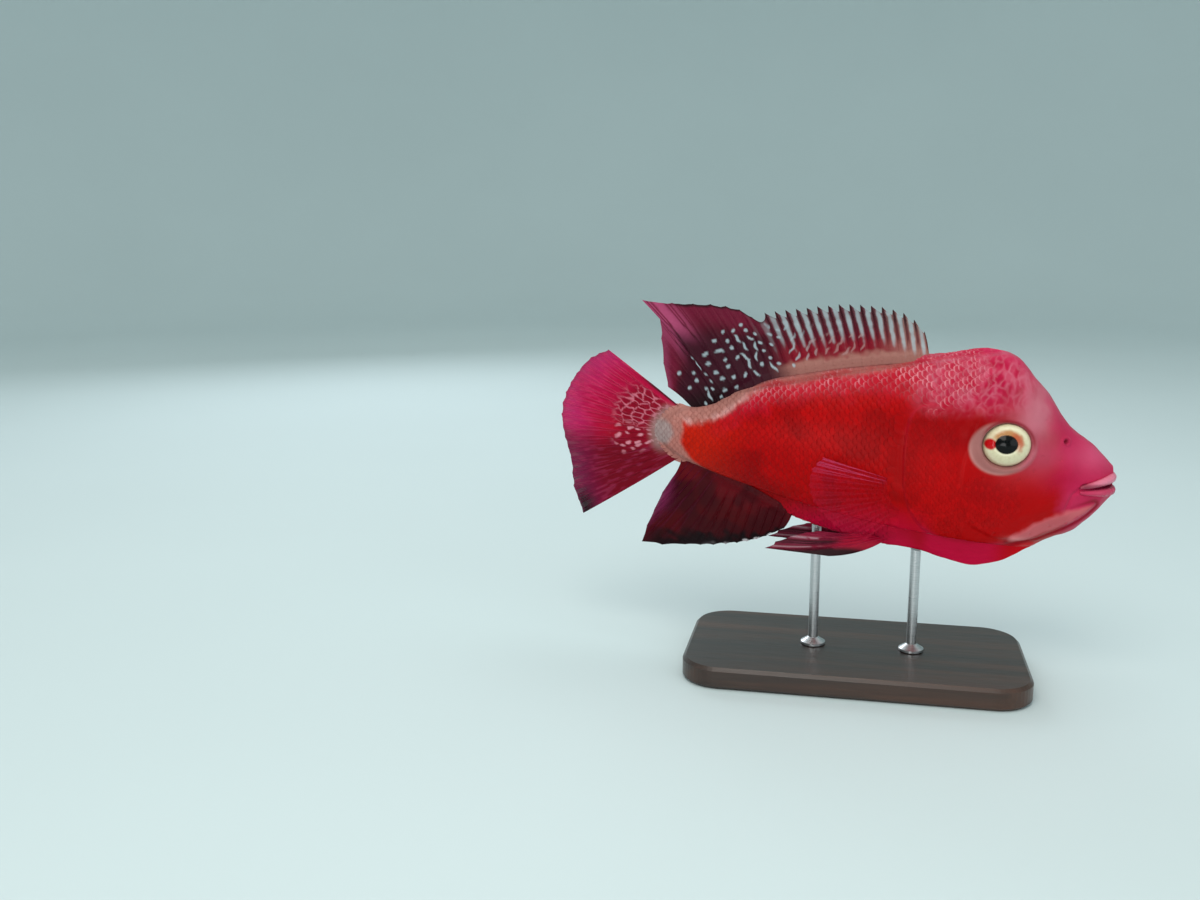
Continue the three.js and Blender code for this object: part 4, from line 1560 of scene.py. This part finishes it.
@dataclass
class DorsalFin(Fin):
    """Sixteen spines with hooked tips, then eleven soft rays that end in a trailing point."""

    name: str = "dorsal_web"
    node: str = "dorsal_fin"
    foot: float = 0.9
    spines: int = 16
    soft: int = 11
    body: Body = Body()

    def rays(self) -> tuple[Array, Array, Array]:
        """Roots, tips and bows of the rays, as rows."""
        k = np.arange(self.spines)
        root_x = 21.8 - 3.22 * k
        roots = [np.stack([root_x, 0 * k, self.body.back(root_x) - ROOT_DEPTH], -1)]
        tip_z = 134.3 - 9.3 * np.exp(-k / 1.7) - 0.5 * np.maximum(0, k - 8)
        tips = [np.stack([19.6 - 3.72 * k, 0 * k, tip_z], -1)]
        bows = [np.tile([0.5, 0, 0.7], (self.spines, 1))]
        k = np.arange(self.soft)
        root_x = -29.6 - 3.05 * k
        roots.append(np.stack([root_x, 0 * k, self.body.back(root_x) - ROOT_DEPTH], -1))
        tips.append(tips_through([
            (0, -40.8, 129), (1, -45.4, 131.6), (3, -56, 133.2), (5, -70.8, 133.5), (6, -82.3, 134.2),
            (7, -75.5, 128.4), (8, -74.5, 120), (9, -73.6, 110.8), (10, -71.6, 102),
        ], self.soft))
        bows.append(np.stack([0.6 + 0 * k, 0 * k, 2.2 - 0.1 * k], -1))
        return np.concatenate(roots), np.concatenate(tips), np.concatenate(bows)

    def notch(self, gap: Array) -> Array:
        """Deep notches between spines, shallow ones between soft rays and one under the trailing point."""
        return np.where(gap < self.spines, 0.13, 0.02 + 0.07 * (gap == self.spines + 6))

    def scallop(self, gap: Array, share: Array) -> Array:
        """Between spines the edge drops behind each tip and climbs to the next, which hooks the tips."""
        hooked = 1.15 * smooth(0, 0.2, share) * (1 - share) ** 0.8
        return np.where(gap < self.spines - 1, hooked, super().scallop(gap, share))

    def wave(self, share: Array, s: Array) -> Array:
        """Sideways play that grows towards the rear edge."""
        return 0.9 * s * s * np.sin(9 * share) * share

    def marks(self) -> list[Mark]:
        """Pearls and worm marks on the soft part, and slanting ones before it."""
        chance = np.random.default_rng(5)
        made = []
        for gap in range(14, 25):
            top = 23 - 0.15 * (gap - 18) ** 2
            for along in np.arange(3.4 + 1.7 * (gap % 2), top, 3.4):
                if chance.random() < 0.08:
                    continue
                worm = chance.random() < (0.4 if gap < 19 else 0.14)
                length = chance.uniform(1.3, 2.1) if worm else chance.uniform(0.55, 0.8)
                width = chance.uniform(0.38, 0.5) if worm else chance.uniform(0.5, 0.66)
                made.append(Mark(
                    gap + 0.5 + chance.uniform(-0.25, 0.25), along + chance.uniform(-0.6, 0.6), length, width,
                    chance.uniform(-0.5, 0.9)))
        for gap in range(6, 14):
            for along in np.arange(5.2 + chance.uniform(0, 2.4), 8 + 0.75 * gap, 4):
                made.append(Mark(
                    gap + 0.5 + chance.uniform(-0.3, 0.3), along + chance.uniform(-0.8, 0.8),
                    chance.uniform(1.2, 2.6), chance.uniform(0.32, 0.46), chance.uniform(-0.95, -0.3)))
        return made

    def paint(self, ray: Array, s: Array, along: Array, ridge: Array, points: Array) -> tuple[Array, Array]:
        """Grey-blue streaks between the spines, and pearls on the near-black soft part."""
        x, z = points[..., 0], points[..., 2]
        spiny = 1 - smooth(13.5, 17.5, ray)
        rough = self.noise.at(1.6, ray * 3, along)
        broad = self.noise.cloud(9, x, x * 0, z)
        panel = 1 - np.abs(2 * (ray - np.floor(ray)) - 1)
        colour = np.broadcast_to(rgb("#560a1e"), ray.shape + (3,))
        colour = over(colour, "#7e0a1e", 0.85 * (1 - smooth(7, 15, along)) * spiny)
        colour = over(colour, "#8a2c34", 0.5 * spiny * smooth(0.5, 0.7, broad) * (1 - smooth(6, 12, along)))
        front = smooth(6, 1, ray)
        colour = over(colour, "#9a7c70", 0.55 * front)
        foot = (1 - smooth(3, 5.6, along + 2 * (rough - 0.5))) * smooth(19, 14, ray)
        colour = over(colour, "#996c62", 0.85 * foot)
        start = 0.42 - 0.3 * front + 0.2 * (rough - 0.5)
        leaning = panel + 0.22 * (rough - 0.5)
        streak = smooth(0.4, 0.78, leaning) * smooth(start, start + 0.35, s + 0.25 * (panel - 0.5)) * spiny
        colour = over(colour, "#a4b4b8", (0.62 + 0.3 * rough) * streak)
        colour = over(colour, "#4c0c1c", 0.75 * spiny * smooth(0.42, 0.16, panel) * smooth(0.3, 0.5, s))
        dark = 1 - spiny
        colour = over(colour, "#300818", 0.92 * dark * (1 - smooth(0.5, 0.86, s + 0.3 * (broad - 0.5))))
        colour = over(colour, "#140206", 0.9 * dark * (1 - smooth(3, 12, along)) * smooth(19, 23, ray))
        colour = over(colour, "#66142e", 0.85 * dark * smooth(0.6, 0.86, s + 0.3 * (broad - 0.5)))
        point = smooth(20.4, 21.6, ray) * smooth(24.2, 22.6, ray) * smooth(0.5, 0.8, s)
        colour = over(colour, "#b45078", 0.7 * point * smooth(0.2, 0.7, 1 - ridge))
        colour = over(colour, "#8a3a58", 0.6 * smooth(21.5, 24, ray) * smooth(0.8, 0.97, s))
        pale = marked(self.marks(), ray, along, 3.3)
        shown = 1 - smooth(0.78, 0.9, s) * dark
        colour = over(colour, "#9eb0b6", 0.85 * pale * shown * smooth(10, 15, ray))
        colour = over(colour, "#a88a88", 0.5 * pale * (1 - smooth(10, 15, ray)) * (1 - smooth(0.5, 0.65, s)))
        hook = self.spiny(ray) * ridge * smooth(0.66, 0.84, s)
        colour = over(colour, "#12060c", 0.9 * hook)
        rim = dark * smooth(0.955, 0.985, s) * (1 - smooth(20.6, 21.4, ray))
        colour = over(colour, "#1a060e", 0.85 * rim)
        clear = 0.78 + 0.22 * np.maximum(ridge, 1 - smooth(0.4, 0.9, s) * spiny)
        return colour, clear


@dataclass
class CaudalFin(Fin):
    """A rounded fan with a pale net and pale spots near its foot."""

    name: str = "caudal_web"
    node: str = "caudal_fin"
    slot: Slot = Slot.PINK_FINS
    rows: int = 78
    per_gap: int = 20
    count: int = 17
    fringe: float = 0.008
    shallow: float = 0.007
    cells: Cells = Cells(8)

    def rays(self) -> tuple[Array, Array, Array]:
        """Roots, tips and bows of the rays, as rows."""
        across = 1 - 2 * np.arange(self.count) / (self.count - 1)
        roots = np.stack([-66.5 - 7 * (1 - across**2), 0 * across, 85.2 + 9.4 * across], -1)
        tips = tips_through([
            (0, -95.4, 115), (2, -102.6, 111.6), (4, -108.6, 105.2), (6, -112.9, 97.6), (8, -114.8, 89),
            (10, -113.2, 80), (12, -110.6, 70.6), (14, -110, 60.6), (16, -106, 49.8),
        ], self.count)
        return roots, tips, np.stack([0 * across, 0 * across, 0.5 * across], -1)

    def wave(self, share: Array, s: Array) -> Array:
        """Gentle folds across the fan."""
        return 0.9 * s * s * np.sin(7 * share + 0.6)

    def paint(self, ray: Array, s: Array, along: Array, ridge: Array, points: Array) -> tuple[Array, Array]:
        """Crimson, magenta towards the edge, darker below, with a pale net and spots near the foot."""
        x, z = points[..., 0], points[..., 2]
        broad = self.noise.cloud(11, x, x * 0, z)
        fine = self.noise.at(0.35, ray * 2, along * 0.12)
        low = smooth(8.5, 12, ray + 3 * (broad - 0.5))
        colour = np.broadcast_to(rgb("#a80638"), ray.shape + (3,))
        colour = over(colour, "#b42060", 0.9 * smooth(0.6, 0.95, s + 0.3 * (broad - 0.5)) * (1 - low))
        colour = over(colour, "#c42c5c", 0.5 * smooth(0.5, 0.8, fine) * smooth(0.4, 0.8, s) * (1 - low))
        colour = over(colour, "#9c0410", 0.6 * mound(ray, along, (9, 18), (2.5, 9)))
        colour = over(colour, "#640012", 0.92 * low)
        colour = over(colour, "#6a1240", 0.8 * low * smooth(0.62, 0.95, s))
        colour = over(colour, "#8c2848", 0.45 * low * smooth(0.55, 0.8, fine))
        reach = 21 - 0.6 * np.abs(ray - 5) ** 1.3
        near = (1 - smooth(reach - 5, reach + 3, along)) * smooth(0.6, 1.6, ray) * (1 - smooth(10.5, 12, ray))
        colour = over(colour, "#7a0018", 0.85 * near)
        upper = 1 - smooth(7, 8.6, ray + 1.5 * (broad - 0.5))
        stray = 0.6 * (self.noise.at(1.9, ray * 1.3, along) - 0.5)
        middle, border = self.cells.at(ray + stray, along / 4 + stray)
        colour = over(colour, "#ca7486", 0.8 * (1 - smooth(0.05, 0.2, border)) * near * upper)
        spots = (1 - smooth(0.17, 0.32, middle)) * (1 - upper) * smooth(13, 11, ray)
        reached = 1 - smooth(17, 22, along)
        colour = over(colour, "#d08a98", 0.85 * spots * reached)
        colour = over(colour, "#b83c60", 0.3 * ridge * smooth(0.25, 0.6, s) * (1 - 0.6 * low))
        foot = 1 - smooth(2.5, 6.5, along + 4 * (broad - 0.5))
        colour = over(colour, "#8f7470", 0.8 * foot * smooth(0, 2, ray) * (1 - smooth(11, 15, ray)))
        colour = over(colour, "#3c1420", 0.8 * (1 - smooth(0.1, 0.5, ray)) * (1 - smooth(0.35, 0.6, s)))
        colour = over(colour, "#0c0408", 0.95 * smooth(13.6, 15.6, ray) * smooth(0.78, 0.97, s))
        colour = over(colour, "#6a1c44", 0.4 * smooth(0.96, 0.995, s))
        cover = 1 - 0.2 * smooth(0.75, 1, s) * (1 - ridge)
        return colour, cover


@dataclass
class AnalFin(Fin):
    """Seven spines and nine soft rays, near-black, with the last rays drawn out to a point."""

    name: str = "anal_web"
    node: str = "anal_fin"
    foot: float = 0.7
    rows: int = 52
    fringe: float = 0.006
    spines: int = 7
    soft: int = 9
    body: Body = Body()

    def rays(self) -> tuple[Array, Array, Array]:
        """Roots, tips and bows of the rays, as rows."""
        k = np.arange(self.spines + self.soft)
        root_x = -23.5 - 2.8 * k
        roots = np.stack([root_x, 0 * k, self.body.belly(root_x) + ROOT_DEPTH], -1)
        tips = tips_through([
            (0, -27, 51.4), (3, -37, 46.2), (6, -48.5, 43.6), (9, -64, 42.2), (11, -81.4, 41.4),
            (12, -79.4, 48), (13, -76.4, 54.8), (14, -73.4, 61.4), (15, -69.6, 67.4),
        ], len(k))
        return roots, tips, np.tile([0.4, 0, -1.2], (len(k), 1))

    def notch(self, gap: Array) -> Array:
        """Shallow notches, deepest between the spines."""
        return np.where(gap < self.spines, 0.025, 0.015)

    def wave(self, share: Array, s: Array) -> Array:
        """Sideways play of the edge."""
        return 0.9 * s * s * np.sin(8 * share)

    def paint(self, ray: Array, s: Array, along: Array, ridge: Array, points: Array) -> tuple[Array, Array]:
        """Dark red at the foot, black at the lower margin with white flecks in front, plum behind."""
        x, z = points[..., 0], points[..., 2]
        rough = self.noise.at(1.8, ray * 3, along)
        broad = self.noise.cloud(10, x, x * 0, z)
        colour = np.broadcast_to(rgb("#420006"), ray.shape + (3,))
        colour = over(colour, "#5e0410", 0.8 * (1 - smooth(3, 13, along + 6 * (broad - 0.5))))
        colour = over(colour, "#2a0008", 0.6 * smooth(0.45, 0.6, broad))
        rear = smooth(10.5, 14, ray + 3 * (broad - 0.5))
        colour = over(colour, "#7a2450", 0.8 * rear * smooth(0.4, 0.9, s))
        colour = over(colour, "#50102c", 0.5 * smooth(8, 12, ray) * ridge)
        low = (1 - smooth(10, 12, ray)) * smooth(0.74, 0.92, s + 0.2 * (rough - 0.5))
        colour = over(colour, "#080306", 0.92 * low)
        white = (1 - smooth(4, 9, ray)) * smooth(0.94, 0.98, s + 0.06 * (rough - 0.5))
        colour = over(colour, "#bcb6ba", 0.8 * white * smooth(0.35, 0.6, rough))
        cover = 1 - 0.2 * rear * smooth(0.7, 1, s) * (1 - ridge)
        return colour, cover


@dataclass
class PairedFin(Fin):
    """A fin of which each side has one. Its rays are given as the left side's."""

    side: Side = Side.RIGHT
    kind: str = ""

    def __post_init__(self) -> None:
        """Names the fin by its side, and lets its web face that way."""
        self.name = f"{self.kind}_web_{self.side.word}"
        self.node = f"{self.kind}_fin_{self.side.word}"
        self.out = (self.out[0], self.side.value, self.out[2])

    def on_side(self, *sets: Array) -> tuple[Array, ...]:
        """Moves sets of points from the left side to the fin's own."""
        for points in sets:
            points[:, 1] *= self.side.value
        return sets


@dataclass
class PectoralFin(PairedFin):
    """A clear pink fan behind the gill cover."""

    kind: str = "pectoral"
    slot: Slot = Slot.PINK_FINS
    rows: int = 54
    count: int = 13
    web: float = 0.3
    crest: float = 0.16
    fringe: float = 0.015
    shallow: float = 0.018
    out: tuple[float, float, float] = (0.28, 1, 0)

    def rays(self) -> tuple[Array, Array, Array]:
        """Roots, tips and bows of the rays, as rows."""
        share = np.linspace(0, 1, self.count)[:, None]
        roots = np.array([13.2, 15.4, 74]) * (1 - share) + np.array([14.6, 15.2, 65.4]) * share
        tips = tips_through([
            (0, -13.5, 83.8), (2, -17, 79.4), (4, -18, 73.6), (6, -16.2, 67.6), (8, -12, 62.2),
            (10, -6, 57.6), (12, 2, 54.6),
        ], self.count)
        tips[:, 1] = 24.6 - 1.6 * share[:, 0]
        bows = np.stack([0 * share[:, 0], 1.6 + 0 * share[:, 0], 0.4 - 0.8 * share[:, 0]], -1)
        return self.on_side(roots, tips, bows)

    def paint(self, ray: Array, s: Array, along: Array, ridge: Array, points: Array) -> tuple[Array, Array]:
        """A thin crimson web with brighter rays, pinkest along the upper edge."""
        rough = self.noise.at(0.4, ray * 2, along * 0.2)
        colour = np.broadcast_to(rgb("#a80018"), ray.shape + (3,))
        colour = over(colour, "#ae0c34", 0.7 * smooth(0.3, 0.9, s))
        upper = 1 - smooth(0.5, 3.5, ray)
        colour = over(colour, "#d0507c", ridge * (0.15 + 0.75 * upper) * smooth(0.1, 0.3, s))
        colour = over(colour, "#c43c64", 0.3 * smooth(0.6, 0.8, rough) * upper)
        cover = 0.08 + (0.12 + 0.45 * upper) * ridge + 0.1 * upper + 0.5 * (1 - smooth(0, 0.12, s))
        return colour, np.clip(cover, 0, 1)


@dataclass
class PelvicFin(PairedFin):
    """A narrow fin with one spine, dark along its leading edge."""

    kind: str = "pelvic"
    rows: int = 60
    per_gap: int = 18
    count: int = 6
    web: float = 0.34
    out: tuple[float, float, float] = (0.1, 1, 0.25)

    def rays(self) -> tuple[Array, Array, Array]:
        """Roots, tips and bows of the rays, as rows."""
        share = np.linspace(0, 1, self.count)
        roots = np.array([9.6, 6.4, 51]) * (1 - share[:, None]) + np.array([3.6, 3.4, 52.4]) * share[:, None]
        tips = tips_through([
            (0, -10.5, 44.6), (1, -33.6, 45.8), (2, -29.6, 48.4), (3, -24.4, 50.6), (4, -19, 52.2),
            (5, -14, 53),
        ], self.count)
        tips[:, 1] = 9.4 - 3 * share
        sag = np.where(share == 0, -2.6, -3.4 + 2.6 * share)
        bows = np.stack([1.2 + 0 * share, 0.8 + 0 * share, sag], -1)
        return self.on_side(roots, tips, bows)

    def spiny(self, ray: Array) -> Array:
        """One at the leading spine."""
        return 1 - smooth(0.4, 0.6, ray)

    def paint(self, ray: Array, s: Array, along: Array, ridge: Array, points: Array) -> tuple[Array, Array]:
        """Crimson at the foot, black towards the lower edge, a black streak of painted shade and a white
        streak behind.
        """
        rough = self.noise.at(2.2, ray * 3, along)
        colour = np.broadcast_to(rgb("#a0062c"), ray.shape + (3,))
        colour = over(colour, "#6c0a2a", 0.8 * smooth(0.25, 0.6, s))
        dark = (1 - smooth(0.6, 1.6, ray)) * smooth(0.2, 0.55, s + 0.2 * (rough - 0.5))
        colour = over(colour, "#0c0408", 0.92 * dark)
        # Painted shade: a black streak that stands for the far fin's shaded web, between the white streaks.
        black = bell(ray - 2.2, 0.6) * smooth(0.35, 0.5, s)
        colour = over(colour, "#0a0508", 0.9 * black)
        white = (bell(ray - 3.1, 0.2) + 0.6 * bell(ray - 1.4, 0.12)) * smooth(0.45, 0.6, s)
        colour = over(colour, "#b8a0a8", 0.7 * white * smooth(0.35, 0.6, rough + 0.1))
        colour = over(colour, "#b84c6c", 0.3 * ridge * (1 - dark))
        return colour, np.ones(ray.shape)


# Stand and studio


@dataclass
class Stand:
    """The base and rods that hold the fish, kept as the solids have them."""

    finishes: dict[str, object] = field(default_factory=lambda: {
        "stand_base": WoodFinish(), "stand_rod_front": SteelFinish(), "stand_rod_rear": SteelFinish(),
    })

    def dress(self) -> None:
        """Gives each solid its finish and soft shading."""
        for name, finish in self.finishes.items():
            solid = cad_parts[name]
            solid.data.materials.clear()
            solid.data.materials.append(finish.material())
            solid.data.shade_smooth()
            solid.data.set_sharp_from_angle(angle=math.radians(40))


@dataclass
class Studio:
    """A pale bowl of a floor, soft lights and the camera."""

    floor_radius: float = 1.5
    bend: float = 0.7
    wall: float = 1.6
    azimuth: float = math.radians(12)
    elevation: float = math.radians(11)
    distance: float = 0.4511
    target: tuple[float, float, float] = (-0.096146, 0, 0.078206)
    lens: float = 36.0
    aim: tuple[float, float, float] = (0, 0, 0.08)
    air: str = "#dfecec"
    air_strength: float = 0.8
    lights: tuple[tuple[str, tuple[float, float, float], float, float, str], ...] = (
        ("key", (-0.15, -0.62, 0.85), 0.6, 3.8, "#fff8f0"),
        ("fill", (0.75, -0.6, 0.3), 0.7, 1.6, "#f6faff"),
        ("low_fill", (-0.1, -0.8, 0.06), 0.5, 2.8, "#ffffff"),
        ("top", (0.05, 0.15, 0.95), 0.8, 2.2, "#ffffff"),
        ("rim", (-0.5, 0.7, 0.5), 0.5, 1.8, "#f4f8ff"),
    )

    def floor(self) -> None:
        """Makes the floor, which turns up into a wall far all round."""
        turn = np.linspace(0, math.pi / 2, 14)
        radius = np.concatenate([[0.02, 0.3, 0.8], self.floor_radius + self.bend * np.sin(turn)])
        height = np.concatenate([[0, 0, 0], self.bend * (1 - np.cos(turn))])
        radius = np.append(radius, radius[-1])
        height = np.append(height, self.wall)
        spoke = np.linspace(0, 2 * math.pi, 96, endpoint=False)
        x = radius[:, None] * np.cos(spoke)
        y = radius[:, None] * np.sin(spoke)
        points = np.stack([x, y, np.broadcast_to(height[:, None], x.shape)], -1).reshape(-1, 3) / MM
        faces = grid_faces(len(radius), len(spoke), closed=True, turned=True).tolist()
        faces.append(list(range(len(spoke))))
        make_piece("floor", points, faces, FloorFinish().material())

    def light(self) -> None:
        """Hangs the lights and lights the air a little."""
        for name, place, size, power, code in self.lights:
            data = bpy.data.lights.new(name, "AREA")
            data.shape = "DISK"
            data.size = size
            data.energy = power
            data.color = rgb(code)
            lamp = bpy.data.objects.new(name, data)
            lamp.location = place
            ahead = Vector(self.aim) - Vector(place)
            lamp.rotation_euler = ahead.to_track_quat("-Z", "Y").to_euler()
            bpy.context.scene.collection.objects.link(lamp)
        world = bpy.data.worlds.new("air")
        world.use_nodes = True
        air = next(n for n in world.node_tree.nodes if n.type == "BACKGROUND")
        air.inputs["Color"].default_value = rgba(self.air)
        air.inputs["Strength"].default_value = self.air_strength
        bpy.context.scene.world = world

    def camera(self) -> None:
        """Sets the camera where the photograph was taken from."""
        data = bpy.data.cameras.new("camera")
        data.sensor_width = 36.0
        data.lens = self.lens
        data.clip_start = 0.01
        data.clip_end = 20
        flat = math.cos(self.elevation)
        aside, away = math.sin(self.azimuth) * flat, -math.cos(self.azimuth) * flat
        back = Vector((aside, away, math.sin(self.elevation)))
        eye = bpy.data.objects.new("camera", data)
        eye.location = back * self.distance + Vector(self.target)
        eye.rotation_euler = (-back).to_track_quat("-Z", "Y").to_euler()
        bpy.context.scene.collection.objects.link(eye)
        bpy.context.scene.camera = eye

    def build(self) -> None:
        """Makes floor, lights and camera, and shows colours as they are."""
        self.floor()
        self.light()
        self.camera()
        bpy.context.scene.view_settings.view_transform = "Standard"


@dataclass
class Flowerhorn:
    """The whole fish."""

    relief: Relief = Relief()
    clear_of_eye: float = 1.75
    dorsal_band: Knot = (2.2, -64, 21)
    anal_band: Knot = (2.8, -67, -22)

    def take(self, piece: bpy.types.Object) -> None:
        """Lets a piece ride with the model."""
        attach(piece, "root")
        LOG.info("%s: %d faces", piece.name, len(piece.data.polygons))

    def in_band(self, band: Knot, x: Array, y: Array) -> Array:
        """Whether points lie in a band of (half width, rear, front) along the middle plane."""
        half, rear, front = band
        return (np.abs(y) < half) & (x > rear) & (x < front)

    def on_trunk(self, x: Array, y: Array, z: Array) -> Array:
        """Whether the big scales grow here: on trunk and nape, but not along the fins' feet."""
        relief = self.relief
        clear = (relief.cover.distance(x, z) < -0.4) & (relief.eye_ring(x, z) > self.clear_of_eye)
        nape_end = 37 + 10 * relief.noise.at(3.5, x, y, z)
        behind = x < np.minimum(14.5 + 2.1 * np.maximum(z - 93, 0), nape_end)
        low = (x < 16) | (z > 94)
        upper = z > relief.body.widest(x)
        dorsal = upper & self.in_band(self.dorsal_band, x, y)
        anal = ~upper & self.in_band(self.anal_band, x, y)
        return clear & behind & low & ~dorsal & ~anal

    def on_cheek(self, x: Array, y: Array, z: Array) -> Array:
        """Whether the small scales of gill cover and cheek grow here."""
        relief = self.relief
        cover = relief.cover.distance(x, z) > 2.2
        clear = (relief.eye_ring(x, z) > self.clear_of_eye) & (relief.jaw_band.distance(x, z) < -1.5)
        return cover | ((mound(x, z, (44, 69), (13, 12)) > 0.5) & clear)

    def build(self) -> None:
        """Builds skin, scales, lips, eyes and fins in turn."""
        self.take(Skin(self.relief).build())
        big = Curve(((-77, 2.1), (-50, 2.5), (-10, 3.0), (20, 3.0), (46, 2.6)))
        small = Curve(((0, 2.1), (60, 2.0)))
        for side in Side:
            body = ScaleCoat(
                self.relief, f"body_scales_{side.word}", side, 46, -75.5, big, 1.66, self.on_trunk)
            self.take(body.build())
            cheek = ScaleCoat(
                self.relief, f"cheek_scales_{side.word}", side, 58, 14, small, 1.2, self.on_cheek,
                lift=0.14, shade=0.08, seed=19)
            self.take(cheek.build())
            self.take(Eye(side).build())
            pectoral = PectoralFin(side=side)
            self.take(pectoral.build())
            pelvic = PelvicFin(side=side)
            self.take(pelvic.build())
        for lip in Lips(self.relief).build():
            self.take(lip)
        for fin in (DorsalFin(), CaudalFin(), AnalFin()):
            self.take(fin.build())


def main() -> None:
    """Builds everything in order."""
    logging.basicConfig(level=logging.INFO, format="%(message)s")
    Studio().build()
    Stand().dress()
    LOG.info("stand dressed")
    Flowerhorn().build()


if __name__ == "__main__":
    main()
